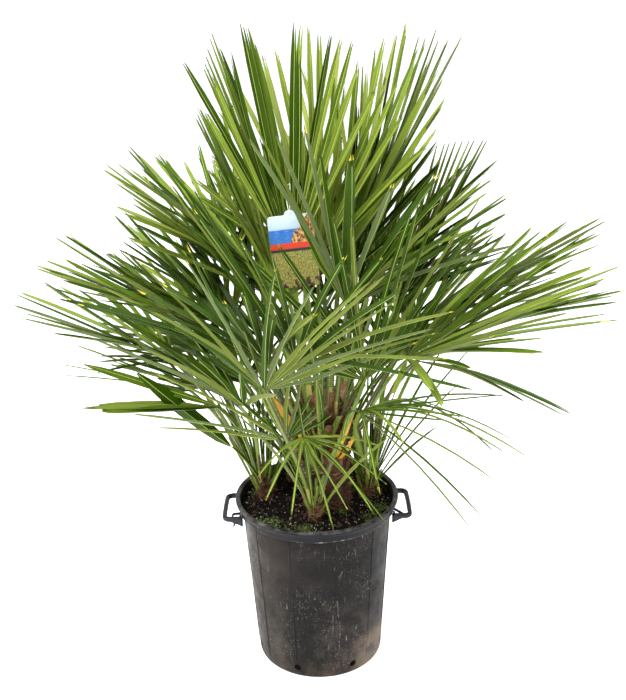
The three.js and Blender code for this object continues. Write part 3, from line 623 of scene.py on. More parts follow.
# how many times as wide, angles that are bare, and the angle and share to which leaflets are drawn together
WIDTHS = {4: 0.7, 5: 0.45, 6: 0.6, 11: 1.5, 12: 0.8, 18: 0.5, 20: 0.9, 21: 0.8, 22: 0.6}
BARE = {10: (-90, -52), 18: (-90, -42), 22: (-90, -36)}
BUNDLED = {11: (-22, 0.24)}

# shades that a leaflet of each tint may take
SHADES = {"deep": "dark deep deep mid", "mid": "deep mid mid bright", "olive": "mid olive olive bright",
          "dull": "deep mid mid olive", "bright": "mid bright bright lime"}
# faces round a blade: upper left, rib, upper right, lower right, rib, lower left
RING_LOOKS = ["top", "top", "rib", "top", "top", "under", "under", "rib", "under", "under"]
AROUND = [-1, -0.5, -0.06, 0.06, 0.5, 1, 0.5, 0.06, -0.06, -0.5]
LEFT_HORN = [0, 1, 2, 8, 9]
RIGHT_HORN = [3, 4, 5, 6, 7]
LEAF_LOOKS = list(LEAF_COLOURS)
# shades of the undersides, of every third frond and of the others
UNDERS = [["under_green", "under_green", "leaf_deep", "under_olive"],
          ["under_green", "under_grey", "under_olive", "leaf_deep"]]


def blade_rings(left, right, keel, over, half):
    """Rings of ten points from edges and keel, with thin halves that bulge a little."""
    rib = np.minimum(LEAF["rib"], half * 0.2)[:, None]
    across = units(right - left)
    keel_left, keel_right = keel - across * rib, keel + across * rib
    bulge = over * np.linalg.norm(right - left, axis=1, keepdims=True) * LEAF["bulge"]
    mid_left, mid_right = (left + keel_left) / 2 + bulge, (right + keel_right) / 2 + bulge
    drop = over * LEAF["thick"]
    return np.stack([left, mid_left, keel_left, keel_right, mid_right, right,
                     mid_right - drop, keel_right - drop, keel_left - drop, mid_left - drop], axis=1)


def ribbon_rings(line, sides, tops, half, depth):
    wide = half[:, None]
    return blade_rings(line - sides * wide, line + sides * wide, line - tops * depth[:, None], tops, half)


def palm_rings(frond, angle, half_step, root_half, joined_half):
    """Rings from the hub to the palm's edge, joined to the neighbours up to where the leaflets part."""
    direction, _, over = frond.leaf_frame(angle)
    fused = FUSED.get(frond.number, MOST_FUSED)
    stops = np.array([0.05, 0.2, fused * 0.98, 0.5 + fused / 2, 1.0])
    radii, free_share = (stops * frond.radius)[:, None], smooth(fused, 1, stops)[:, None]
    edges = []
    for side in (-1, 1):
        joined = frond.direction(angle + side * half_step)
        loose = frond.direction(angle + side * half_step * root_half / joined_half)
        edges.append(frond.hub + (joined * (1 - free_share) + loose * free_share) * radii)
    depth = np.minimum(root_half * stops, PALM_KEEL + 2)[:, None]
    return blade_rings(*edges, frond.hub + direction * radii - over * depth, over, root_half * stops)


def leaflet_rings(frond, angle, half_step, tilt, length, droop, rng):
    """Rings of one fine leaflet from the hub to where its tip splits, and the two horns of the tip."""
    direction, across, over = frond.leaf_frame(angle)
    widest = (LEAF["half"] + LEAF["wider"] * (frond.leaf - 400)) * WIDTHS.get(frond.number, 1.0)
    joined_half = frond.radius * sin(radians(half_step))
    root_half = min(joined_half * LEAF["root"], LEAF["waist"] * widest)
    palm = palm_rings(frond, angle, half_step, root_half, joined_half)

    free = direction * cos(radians(tilt)) + over * sin(radians(tilt))
    reach = max(length - frond.radius, 20)
    split = between(rng, 0.86, 0.95)
    stops = np.concatenate([FREE_STOPS, [split, (1 + split) / 2, 1.0]])
    bend = 0.03 * rng.standard_normal()
    spin = (radians(14) * rng.standard_normal() * stops)[:, None]
    line = (frond.hub + direction * frond.radius + free * (stops * reach)[:, None]
            + across * (bend * reach * stops**2)[:, None])
    line[:, 2] -= droop * length * stops**1.6
    ways, sides, tops = framed(line, across, stops)
    sides, tops = sides * np.cos(spin) + tops * np.sin(spin), tops * np.cos(spin) - sides * np.sin(spin)
    widest *= between(rng, 0.86, 1.12)
    half = root_half + (widest - root_half) * smooth(0, LEAF["widest"], stops)
    near_tip = np.clip((stops - LEAF["taper"]) / (1 - LEAF["taper"]), 0, 1)
    half = half * (1 - LEAF["narrowing"] * near_tip**2.2)
    rings = ribbon_rings(line, sides, tops, half, half * (1.0 - 0.5 * stops))
    horns = []
    for side, members in ((-1, LEFT_HORN), (1, RIGHT_HORN)):
        middle = rings[-2][members] + sides[-2] * side * widest * 0.10
        middle = middle.mean(0) + (middle - middle.mean(0)) * 0.8
        tip = line[-1] + sides[-1] * side * widest * 0.22 - tops[-1] * side * 0.6
        if side > 0:
            tip = tip - ways[-1] * reach * between(rng, 0, 0.03)
        horns.append((middle, tip))
    return np.concatenate([palm, rings[:-2]]), horns, ways


def add_blade(mesher, body, horns, looks, tip_look):
    """One leaflet as a closed body: ringed blade, then two horns."""
    steps, size = body.shape[:2]
    index = {kind: LEAF_LOOKS.index(name) for kind, name in (*looks.items(), ("tip", tip_look))}
    points = list(body.reshape(-1, 3))
    last = (steps - 1) * size
    faces = [tuple(range(size - 1, -1, -1)), *walls(steps, size), (last + 2, last + 3, last + 7, last + 8)]
    face_looks = [index["under"], *[index[kind] for kind in RING_LOOKS] * (steps - 1), index["rib"]]
    for members, (middle, tip) in zip((LEFT_HORN, RIGHT_HORN), horns):
        first = len(points)
        points += [*middle, tip]
        for k in range(5):
            n = (k + 1) % 5
            faces.append((last + members[k], last + members[n], first + n, first + k))
            faces.append((first + k, first + n, first + 5))
            face_looks += [index["top" if k < 2 else "under"], index["tip"]]
    along = np.concatenate([np.linspace(0, 1, steps).repeat(size), np.ones(len(points) - steps * size)])
    around = np.concatenate([AROUND * steps, [-1, -0.5, 0, 0, 0, 0] * 2])
    mesher.body(points, faces, face_looks, np.stack([around, along * 4], axis=1))


def fine_leaflets(frond, rng):
    """Angle, half step, tilt, length and droop of each fine leaflet, and whether it grows past the palm."""
    usual = FAR_FINER if frond.number >= len(FRONT_FRONDS) else 1.0
    count = round(FINER.get(frond.number, usual) * (frond.leaflets - 1)) + 1
    spacing = (frond.leaflets - 1) / (count - 1)
    bare = BARE.get(frond.number, (0, 0))
    middle, drawn = BUNDLED.get(frond.number, (0, 1))
    for j in range(count):
        place = j * (frond.leaflets - 1) / (count - 1)
        low = min(int(place), frond.leaflets - 2)
        values, alive = np.zeros(3), 0
        for index, weight in ((low, 1 - place + low), (low + 1, place - low)):
            if weight and frond.kept[index]:
                tilt, reach = frond.kept[index]
                *_, length, lean, droop = frond.leaflet(index)
                values += np.array([tilt + lean, length * reach, droop]) * weight
                alive += weight
        angle = -frond.spread + frond.step * place
        half_step = frond.step * spacing / 2
        if alive < 0.35 or bare[0] < angle < bare[1]:
            yield angle, half_step, 0, frond.radius + 30, 0.0, False
            continue
        tilt, length, droop = values / alive
        angle = middle + (angle + 0.18 * frond.step * rng.standard_normal()) * drawn
        length *= LONGER.get(frond.number, 1.0) * between(rng, 0.95, 1.04)
        droop *= between(rng, *LOOSE_DROOP.get(frond.number, (1, 1)))
        yield angle, half_step, (tilt + 3 * rng.standard_normal()) * drawn, length, droop, True


def dress_blades(fronds, looks):
    """All leaflets, joined by stem, and the dark threads at some of their tips."""
    sets = {name: (Mesher(), []) for name in ("trunk_front", "trunk_far", "suckers")}
    threads = Mesher()
    for frond in fronds:
        rng = np.random.default_rng(700 + frond.number)
        far = frond.number >= len(FRONT_FRONDS)
        tint = FAR_TINTS[frond.number % len(FAR_TINTS)] if far else TINTS[frond.number]
        on_trunk = "trunk_far" if far else "trunk_front"
        blades, nodes = sets[on_trunk if frond.stem_name == "trunk" else "suckers"]
        nodes.append(frond.node())
        for angle, half_step, tilt, length, droop, whole in fine_leaflets(frond, rng):
            lot = rng.random()
            top = "leaf_" + SHADES[tint].split()[rng.integers(0, 4)]
            under = UNDERS[frond.number % 3 > 0][rng.integers(0, 4)]
            tip = "leaf_tip_yellow" if frond.number in YELLOW_TIPPED and lot < 0.6 else top
            threaded = whole and lot > 0.72
            if threaded:
                tip = "leaf_tip_dark"
                length *= 0.94
            body, horns, ways = leaflet_rings(frond, angle, half_step, tilt, length, droop, rng)
            add_blade(blades, body, horns, {"top": top, "under": under, "rib": "leaf_rib"}, tip)
            if threaded:
                add_thread(threads, horns[0][1], ways[-1], length * between(rng, 0.05, 0.09), rng)
    members = [looks[name] for name in LEAF_LOOKS]
    for name, (blades, nodes) in sets.items():
        slot = "frond_sucker" if name == "suckers" else "frond_trunk"
        blades.piece("leaflets_" + name, members, slot, nodes, 24)
    threads.piece("leaf_threads", [looks["leaf_tip_dark"]], "frond_trunk", sets["trunk_front"][1])


def add_hair(mesher, line, sides, tops, radii, look=0):
    """A thin body of three faces along a line."""
    rings = [line + (sides * cos(turn) + tops * sin(turn)) * radii for turn in (0, -2.1, -4.2)]
    mesher.loft(np.stack(rings, axis=1), look)


def add_thread(mesher, place, way, length, rng):
    bend = rng.standard_normal(3) * 0.25
    steps = np.linspace(0, 1, 4)[:, None]
    line = place + way * length * steps + (bend - up(0.12)) * length * steps**2
    side = unit(np.cross(way, up(1.0)))
    add_hair(mesher, line, side, np.cross(side, way), 0.55 * (1 - 0.7 * steps))


# Stalks with spines

STALK_STEPS = 15
STALK_RING = [(-1, 0.18), (-0.9, 0), (-0.4, 0.08), (0, 0.12), (0.4, 0.08), (0.9, 0), (1, 0.18),
              (0.62, 0.68), (0, 1), (-0.62, 0.68)]
SPINES = {"first": (0.1, 0.14), "last": 0.93, "length": (3.5, 7.5), "gap": (11, 24)}
STALK_LOOKS = ["stalk_green", "stalk_dark", "stalk_pale"]


def along(rows, share):
    """The row, worked out between two, at a share of a table's length."""
    place = share * (len(rows) - 1)
    low = min(int(place), len(rows) - 2)
    return rows[low] * (1 - place + low) + rows[low + 1] * (place - low)


def dress_stalks(fronds, looks):
    """The stalks, joined by stem, with a row of spines along each edge."""
    sets = {name: (Mesher(), Mesher(), []) for name in ("trunk", "suckers")}
    share = np.linspace(0, 1, STALK_STEPS)
    half = (STALK["foot_width"] + (STALK["hub_width"] - STALK["foot_width"]) * share**0.6) / 2
    half = half * (1 + 0.5 * np.clip(1 - share / 0.12, 0, 1))
    depth = STALK["foot_depth"] + (STALK["hub_depth"] - STALK["foot_depth"]) * share
    grain = np.stack([np.tile(np.linspace(-1, 1, 10), STALK_STEPS), np.repeat(share * 4, 10)], axis=1)
    for frond in fronds:
        rng = np.random.default_rng(300 + frond.number)
        stalks, spines, nodes = sets["trunk" if frond.stem_name == "trunk" else "suckers"]
        nodes.append(frond.node())
        places, ways, sides, tops = frond.stalk(STALK_STEPS)
        rings = np.stack([places + sides * (s * half)[:, None] + tops * (2 - g * depth)[:, None]
                          for s, g in STALK_RING], axis=1)
        ringed = []
        for k in range(STALK_STEPS - 1):
            base = 2 if share[k] < 0.14 else 0
            edge = 1 if frond.number % 3 == 1 or share[k] < 0.3 else base
            ringed += [edge if i in (0, 5, 6, 9) else base for i in range(10)]
        stalks.loft(rings, grain=grain, wall_looks=ringed)
        length = np.linalg.norm(np.diff(places, axis=0), axis=1).sum()
        for edge in (-1, 1):
            at = between(rng, *SPINES["first"])
            while at < SPINES["last"]:
                place, way, side, top, wide = (along(rows, at) for rows in (places, ways, sides, tops, half))
                low = int(at * (STALK_STEPS - 1))
                foot = place + side * edge * wide * 0.93 + top * (2 - 0.1 * depth[low])
                reach = side * edge * 0.8 + way * between(rng, 0.3, 0.7) + top * between(rng, -0.1, 0.25)
                add_spine(spines, foot, unit(reach), way, between(rng, *SPINES["length"]))
                at += between(rng, *SPINES["gap"]) / length
    for name, (stalks, spines, nodes) in sets.items():
        slot = "frond_trunk" if name == "trunk" else "frond_sucker"
        stalks.piece("stalks_" + name, [looks[look] for look in STALK_LOOKS], slot, nodes, 50)
        spines.piece("spines_" + name, [looks["stalk_spine"]], slot, nodes, 50)


def add_spine(mesher, foot, reach, way, length):
    up = unit(np.cross(reach, way))
    flat = np.cross(up, reach)
    base = foot - reach * 1.2
    ring = [base + flat * 1.5, base - up * 0.8, base - flat * 1.5, base + up * 0.8]
    mesher.loft([ring], tip=foot + reach * length)


# Young leaves: slender folded blades that rise from the suckers

STRIP_STOPS = np.array([0, 0.08, 0.2, 0.36, 0.54, 0.72, 0.88, 1.0])
STRIP_WIDTHS = np.array([0.6, 0.6, 0.75, 1.0, 1.0, 0.94, 0.74, 0.22])
# Sprays of long single leaflets: number of the frond whose hub they leave, count, headings, pitches and
# lengths from the first to the last, half width, droop
SPRAYS = [(0, 6, (168, 168), (66, 73), (455, 535), 5.4, 0),
          (14, 5, (15, 38), (66, 76), (540, 525), 5.2, 0),
          (14, 3, (35, 84), (76, 83), (425, 455), 5.2, 0),
          (7, 9, (15, 31), (58, 73), (455, 395), 5.5, 0),
          (16, 5, (4, 6), (9, 29), (395, 290), 4.8, 0.02),
          (23, 9, (184, 195), (27, 55), (325, 240), 5.7, 0.02),
          (10, 6, (191, 196), (-8, 34), (185, 150), 5.6, 0.02),
          (6, 3, (-16, -9), (-2, 18), (195, 145), 4.3, 0.02),
          (6, 3, (-31, -6), (-36, -8), (310, 314), 3.5, 0.26),
          (5, 1, (-12, -12), (-34, -34), (226, 226), 2.4, 0.34),
          (11, 1, (184, 184), (22, 22), (325, 325), 10, 0)]
SPRAY_TINTS = ["mid", "olive", "mid", "bright", "olive"]
# root, heading, pitch, length and half width of one wide leaflet that hangs by itself
LOOSE_BLADE = ((-395, -110, 798), 23, -47, 305, 17)
BROAD_BLADE = 9
BROAD_WIDTHS = np.array([0.16, 0.42, 0.74, 1.0, 1.0, 0.94, 0.7, 0.16])
YOUNG = {"trunk": 30, "sucker_left": 30, "sucker_front": 9, "sucker_right": 22, "sucker_back": 12}


def dress_young_leaves(fronds, looks):
    young = Mesher()
    rng = np.random.default_rng(23)
    for name, count in YOUNG.items():
        stem = STEMS[name]
        for _ in range(count):
            turn, pitch = rng.random() * 360, between(rng, 54, 86)
            z = SOIL_TOP + stem["height"] * between(rng, 0.25, 0.95)
            add_young_leaf(young, stem_place(stem, turn, z, -5), turn, pitch, between(rng, 150, 410), rng)
    for number, count, turns, pitches, lengths, half, droop in SPRAYS:
        for k in range(count):
            share = (k + 0.5 + 0.35 * between(rng, -1, 1)) / count
            turn, pitch, length = (a + (b - a) * share for a, b in (turns, pitches, lengths))
            add_single(young, fronds[number].hub, turn, pitch, length, half * between(rng, 0.88, 1.1), droop,
                       SPRAY_TINTS[k % len(SPRAY_TINTS)], rng)
    add_single(young, *LOOSE_BLADE, 0, "mid", rng)
    young.piece("young_leaves", [looks[name] for name in LEAF_LOOKS], "frond_sucker", SUCKERS, 24)


def add_single(mesher, root, turn, pitch, length, half, droop, tint, rng):
    """One long leaflet from a hub; a broad one lies flat to the front."""
    stops = STRIP_STOPS[:, None]
    line = np.array(root) + heading(turn, pitch) * length * stops - up(droop * length) * stops**2
    broad = half > BROAD_BLADE
    side = unit(np.array([0.7, 0.25, 0.7] if broad else [0.5, -0.6, 0.35]))
    add_strip(mesher, line, side, half, tint, rng, BROAD_WIDTHS if broad else STRIP_WIDTHS)


def add_young_leaf(mesher, root, turn, pitch, length, rng):
    way, side = heading(turn, pitch), heading(turn - 90)
    side = unit(side + heading(turn) * 0.8 * rng.standard_normal())
    side = unit(side - way * (side @ way))
    stops = STRIP_STOPS[:, None]
    out = heading(turn) * between(rng, 0.02, 0.2) + side * 0.06 * rng.standard_normal()
    line = root + way * stops * length + (out - up(0.08)) * stops**2 * length
    tint = ("deep", "mid", "olive", "bright")[rng.integers(0, 4)]
    add_strip(mesher, line, side, between(rng, 3.0, 5.4), tint, rng)


def add_strip(mesher, line, side, widest, tint, rng, widths=STRIP_WIDTHS):
    """A single folded blade along a line."""
    _, sides, tops = framed(line, side)
    half = widest * widths
    rings = ribbon_rings(line, sides, tops, half, half * 0.8)
    top = "leaf_" + SHADES[tint].split()[rng.integers(0, 4)]
    looks = {"top": top, "under": UNDERS[1][rng.integers(0, 4)], "rib": "leaf_rib"}
    index = [LEAF_LOOKS.index(looks[kind]) for kind in RING_LOOKS]
    grain = np.stack([AROUND * len(line), np.repeat(STRIP_STOPS * 3, 10)], axis=1)
    mesher.loft(rings, index[0], grain=grain, wall_looks=index * (len(line) - 1))


# Stem bodies: bark relief, old leaf bases, cut stubs and fibres

def stem_place(stem, turn, z, out=0.0):
    return stem_centre(stem, z) + heading(turn) * (stem_radius(stem, z) + out)


def bark_core(mesher, stem, seed, levels=34, around=56):
    """The stem's skin with the relief of its bark, closed above by a low dome."""
    high = SOIL_TOP + stem["height"] - 2
    skin = []
    for z in np.linspace(SOIL_TOP - 12, high, levels):
        ring = []
        for k in range(around):
            turn = 360 * k / around
            spot = Vector((*heading(turn)[:2] * 2.2, z / 26 + seed))
            relief = 4.5 * noise.fractal(spot, 0.9, 2.1, 4) + 1.6 * noise.noise(spot * 5)
            ring.append([*stem_place(stem, turn, max(z, SOIL_TOP), relief - 2.0)[:2], z])
        skin.append(ring)
    top = stem_centre(stem, high)
    skin.append(top + (np.array(skin[-1]) - top) * 0.55 + up(6))
    mesher.loft(skin, tip=top + up(9))


# share of the length, of the width, and thickness
BOOT_STEPS = [(0, 1.25, 8), (0.3, 1.15, 8), (0.65, 0.95, 6.5), (0.94, 0.78, 5), (1, 0.66, 3.6)]


def add_boot(mesher, stem, turn, z, length, width, rise, rng, look=1):
    """An old leaf base: a tapered, slightly hollow wedge, sunk in the stem and cut off at its end."""
    out, reach, side = heading(turn), heading(turn, rise), heading(turn - 90)
    over = np.cross(side, reach)
    root = stem_place(stem, turn, z, -9)
    rings = []
    for share, scale, thick in BOOT_STEPS:
        middle = root + reach * length * share + out * 2.0 * sin(share * 3.1)
        half = width / 2 * scale * (1 + 0.06 * rng.standard_normal())
        rings.append([middle - side * half, middle - side * half * 0.5 + over * thick * 0.32,
                      middle + over * thick * 0.22, middle + side * half * 0.5 + over * thick * 0.32,
                      middle + side * half, middle + side * half * 0.45 - over * thick * 0.55,
                      middle - side * half * 0.45 - over * thick * 0.55])
    mesher.loft(rings, look, end_look=2)


def add_fibre(mesher, stem, turn, z, rng, loose=0.4):
    """A hair that lies on the stem, mostly crosswise, and sometimes lifts off at its end."""
    radius = stem_radius(stem, z)
    length = between(rng, 18, 60)
    slope = rng.standard_normal() * 0.5
    steps = 6
    lift = between(rng, 3, 20) if rng.random() < loose else between(rng, -1, 2)
    shares = np.linspace(0, 1, steps)
    runs = length * shares
    turns = turn + np.degrees(runs * cos(slope) / radius)
    places = np.array([stem_place(stem, turn, z + run * sin(slope), 0.8 + lift * share**2)
                       for turn, run, share in zip(turns, runs, shares)])
    ways = units(np.gradient(places, axis=0))
    sides = units(np.cross(ways, heading(turn)))
    radii = between(rng, 0.35, 0.7) * np.linspace(1, 0.4, steps)[:, None]
    add_hair(mesher, places, sides, np.cross(sides, ways), radii, int(rng.random() < 0.28))


def kept_stubs():
    """The stubs that the part's source found clear of the fronds, told by their cut ends."""
    stem = STEMS["trunk"]
    points = node_points("trunk")
    span = STUB["highest"] - STUB["lowest"]
    wound = [(WIDE_ANGLE * k - 40, STUB["lowest"] + span * k / (STUB["count"] - 1),
              STUB["length"] * (1 + 0.25 * vary(90, k, 1)), False) for k in range(STUB["count"])]
    for turn, height, length, green in wound + [(*row, True) for row in TRIMMED]:
        z = SOIL_TOP + height
        reach = heading(turn, STUB["rise"])
        root = stem_place(stem, turn, z, -14)
        over = np.cross(heading(turn - 90), reach)
        end = root + reach * length - over * STUB["depth"] * 0.7
        if nearest(points, end) < 1.5:
            yield turn, z, root, reach, over, length, green


STUB_RING = [(-1, 0.12), (-0.85, 0), (0, 0.1), (0.85, 0), (1, 0.12), (0.55, 0.66), (0, 1), (-0.55, 0.66)]
# width of each stem as a share of the solid's, which leaves room for its leaf bases
SLIM = {"trunk": 1.0, "sucker_left": 0.66, "sucker_front": 0.6, "sucker_right": 0.7, "sucker_back": 0.8}
# counts for the trunk and for each sucker
BOOTS = {"trunk": 64, "sucker": 20}
GREEN_BASES = {"trunk": 0, "sucker": 16}
FIBRES = {"trunk": 1600, "sucker": 160}
LOOSE_HAIRS = {"trunk": 600, "sucker": 60}
WIDE_ANGLE = 137.5


def dress_stem(body, fibres, stem, kind, rng):
    """Leaf bases, green ones among them, then lying fibres and loose hairs, on a stem whose bark is made."""
    scale = stem["radii"][1] / STEMS["trunk"]["radii"][1]
    count = BOOTS[kind]
    for k in range(count):
        z = SOIL_TOP + 4 + (stem["height"] - 40 * scale) * k / count
        high = max(0, k / count - 0.45) if kind == "trunk" else 0
        add_boot(body, stem, WIDE_ANGLE * k + 20, z, between(rng, 28, 54) * scale**0.5 + 44 * high,
                 between(rng, 20, 30) * scale**0.6, between(rng, 50, 74) - 26 * high, rng)
    count = GREEN_BASES[kind]
    for k in range(count):
        z = SOIL_TOP + stem["height"] * (0.1 + 0.85 * k / count)
        add_boot(body, stem, WIDE_ANGLE * k + 75, z, between(rng, 34, 74), between(rng, 7, 11),
                 between(rng, 62, 82), rng, 3)
    for _ in range(FIBRES[kind]):
        turn, z = rng.random() * 360, SOIL_TOP + 6 + rng.random() * (stem["height"] - 14)
        add_fibre(fibres, stem, turn, z, rng)
    for _ in range(LOOSE_HAIRS[kind]):
        turn, z = rng.random() * 360, SOIL_TOP + stem["height"] * between(rng, 0.3, 0.98)
        way = unit(heading(turn, between(rng, 0, 75)) + 0.5 * rng.standard_normal(3))
        add_thread(fibres, stem_place(stem, turn, z, -1), way, between(rng, 16, 52), rng)


def dress_stems(looks):
    rng = np.random.default_rng(11)
    bark = bark_look("palm_bark", (34, 19, 12), (106, 65, 40), (168, 124, 84))
    boot = bark_look("leaf_base", (52, 30, 18), (116, 78, 48), (168, 134, 94))
    cut = bark_look("leaf_base_cut", (96, 74, 48), (150, 124, 84), (186, 164, 118))
    hairs = [speck_look("fibre_brown", (82, 46, 28), (138, 88, 56)),
             speck_look("fibre_pale", (136, 98, 66), (184, 148, 108))]
    for kind, names in (("trunk", ["trunk"]), ("sucker", SUCKERS)):
        body, fibres = Mesher(), Mesher()
        for number, name in enumerate(names):
            stem = {**STEMS[name], "radii": [radius * SLIM[name] for radius in STEMS[name]["radii"]]}
            bark_core(body, stem, 3.7 * number + 20 * stem["radii"][1] / STEMS["trunk"]["radii"][1])
            dress_stem(body, fibres, stem, kind, rng)
        slot = kind + "_bark"
        body.piece(slot, [bark, boot, cut, looks["stalk_green"]], slot, names, 60)
        fibres.piece(kind + "_fibres", hairs, slot, names, 60)
    dress_stubs([looks["stalk_green"], boot, cut])


def dress_stubs(materials):
    """Old stumps and trimmed stalks of the trunk."""
    stubs = Mesher()
    for turn, z, root, reach, over, length, green in kept_stubs():
        side = heading(turn - 90)
        rings = []
        for share, scale in ((0, 1.3), (0.4, 1.08), (0.75, 0.9), (1, 0.8)):
            middle = root + reach * length * share
            half, deep = STUB["width"] / 2 * scale, STUB["depth"] * scale
            rings.append([middle + side * half * s - over * deep * g for s, g in STUB_RING])
        grain = [[(s, share * 2) for s in np.linspace(-1, 1, 8)] for share in (0, 0.4, 0.75, 1)]
        stubs.loft(rings, 0 if green else 1, grain=grain, end_look=2)
    stubs.piece("trunk_stubs", materials, "trunk_bark", ["trunk"], 50)


# Soil with chips, pale grains and moss

CHIPS = 900
MOSS_THICK = 0.3
# place, spread and count of the patches of moss
MOSS = [((-118, -122), 46, 520), ((-62, -150), 26, 170), ((-30, -138), 30, 190), ((132, -92), 30, 200),
        ((152, -40), 26, 170), ((150, 40), 24, 120), ((-150, 60), 22, 110), ((60, -60), 20, 70),
        ((40, 150), 30, 170)]


def soil_height(x, y):
    spot = Vector((x / 42, y / 42, 0.4))
    rim = hypot(x, y) / 188
    return SOIL_TOP - 3 + 6.5 * noise.fractal(spot, 0.9, 2.0, 5) + 2.5 * noise.noise(spot * 7) - 2.5 * rim**6


def dress_soil():
    """The bed down to the floor of the pot, then chips and moss on it."""
    soil = Mesher()
    rings = [[(*place, z) for place in arc((0, 0), radius, 0, 3, 120)]
             for radius, z in ((4, 6), (140, 6), (151, 6), (176, 390), (187.2, 402))]
    rings += [[(x, y, soil_height(x, y)) for x, y in arc((0, 0), radius, 0, 3, 120)]
              for radius in (187.2, 184, 178, *range(172, 3, -5))]
    soil.loft(rings, tip=up(soil_height(0, 0)))
    soil.piece("soil_bed", [soil_look()], "soil", ["soil"], 60)
    rng = np.random.default_rng(5)
    dress_chips(rng)
    dress_moss(rng)


def dress_chips(rng):
    chips = Mesher()
    for _ in range(CHIPS):
        turn, radius = rng.random() * 360, 184 * sqrt(rng.random())
        x, y = (heading(turn) * radius)[:2]
        pale = rng.random() < 0.3
        size = between(rng, 1.5, 3.2) if pale else between(rng, 2, 6.5)
        place = np.array([x, y, soil_height(x, y) + size * 0.25])
        add_chip(chips, place, size, 2 if pale else rng.integers(0, 2), rng)
    chips.piece("soil_chips", [speck_look("chip_dark", (34, 22, 16), (70, 48, 34)),
                               speck_look("chip_brown", (46, 29, 20), (92, 62, 42)),
                               speck_look("grain_pale", (196, 186, 168), (236, 230, 216))],
                "soil", ["soil"], 30)


def dress_moss(rng):
    moss = Mesher()
    for (cx, cy), spread, count in MOSS:
        for _ in range(count):
            x, y = cx + rng.standard_normal() * spread * 0.42, cy + rng.standard_normal() * spread * 0.42
            if hypot(x, y) < 184:
                add_moss(moss, np.array([x, y, soil_height(x, y)]), rng)
    moss.piece("moss", [speck_look("moss_deep", (34, 46, 16), (62, 80, 30)),
                        speck_look("moss_light", (74, 94, 36), (116, 134, 62))], "soil", ["soil"], 60)


def add_chip(mesher, place, size, look, rng):
    ups = unit(rng.standard_normal(3) + up(1.5))
    side = unit(np.cross(ups, rng.standard_normal(3)))
    way = np.cross(side, ups)
    long = size * between(rng, 0.8, 2.2) if look < 2 else size
    rings = []
    for share, scale in ((-1, 0.55), (-0.3, 1.0), (0.5, 0.85)):
        middle = place + way * long * share / 2
        half = size * scale / 2
        turns = [-2 * pi * k / 5 + 0.5 * rng.random() for k in range(5)]
        rings.append([middle + (side * cos(t) + ups * sin(t) * 0.6) * half for t in turns])
    mesher.loft(rings, int(look), tip=place + way * long * 0.55)


def add_moss(mesher, foot, rng):
    """One small leaf of the moss and seedlings: a bent blade that widens and ends in a point."""
    reach = heading(rng.random() * 360, between(rng, 20, 80))
    side = unit(np.cross(reach, up(1.0)))
    over = np.cross(side, reach) * MOSS_THICK
    length, half = between(rng, 3, 8), between(rng, 1.2, 2.6)
    look = int(rng.random() < 0.45)
    root = foot + up(between(rng, -1, 4))
    rings = []
    for share, scale in ((0, 0.35), (0.55, 1.0)):
        middle, wide = root + reach * length * share, side * half * scale
        rings.append([middle - wide, middle + over, middle + wide, middle - over])
    mesher.loft(rings, look, tip=root + reach * length - up(length * 0.2))


# Pot and handles

SEAMS = [-54.3, -22.3, 12.7, 46, 75.3, 108, 141, 174, 206, 239, 272]
SEAM_HEIGHT = 1.5
SEAMED = (20, 390)
WALL_LEVELS = (7, 14, 19, 23, 40, 60, 90, 130, 170, 210, 250, 290, 330, 365, 388, 394)
# radius and height along the foot, from the lip's underside over its edge, and down the inside to the floor
FOOT_PROFILE = [(3, 0), (90, 0), (149, 0), (152.6, 1.1), (155.1, 3.6)]
LIP_PROFILE = [(181.4, 398), (182.4, 399), (189.6, 399), (191.6, 400.1), (192.6, 402.6), (193.4, 406),
               (194.6, 410), (195.6, 417.4), (197.6, 419.6), (199.4, 421.2), (200, 423.4), (200, 426.6),
               (199.1, 428.8), (197, 429.9), (192.4, 430), (190, 429.3), (188.6, 427.4), (188.1, 424),
               (188, 412)]
INNER_PROFILE = [(188, 400.5), (186.5, 398.5), (177, 392), (174.5, 380), (165, 240), (155, 90), (151.9, 8),
                 (149, 5.4), (60, 5), (3, 5)]
SEAM_SHAPE = [(-1.0, 0), (-0.6, 0), (-0.22, 1), (0.22, 1), (0.6, 0), (1.0, 0)]


def pot_wall(z):
    rise = POT["height"] - POT["lip"] - POT["bevel"]
    return POT["foot"] + (POT["neck"] - POT["foot"]) * (z - POT["bevel"]) / rise


def pot_columns():
    """Bearings round the pot in degrees, closer at the seams, with the height of the seam at each."""
    columns = []
    for k, seam in enumerate(SEAMS):
        following = SEAMS[(k + 1) % len(SEAMS)] + (360 if k + 1 == len(SEAMS) else 0)
        columns += [(seam + offset, height) for offset, height in SEAM_SHAPE]
        columns += [(seam + 1 + (following - seam - 2) * i / 7, 0) for i in range(1, 7)]
    return sorted(columns)


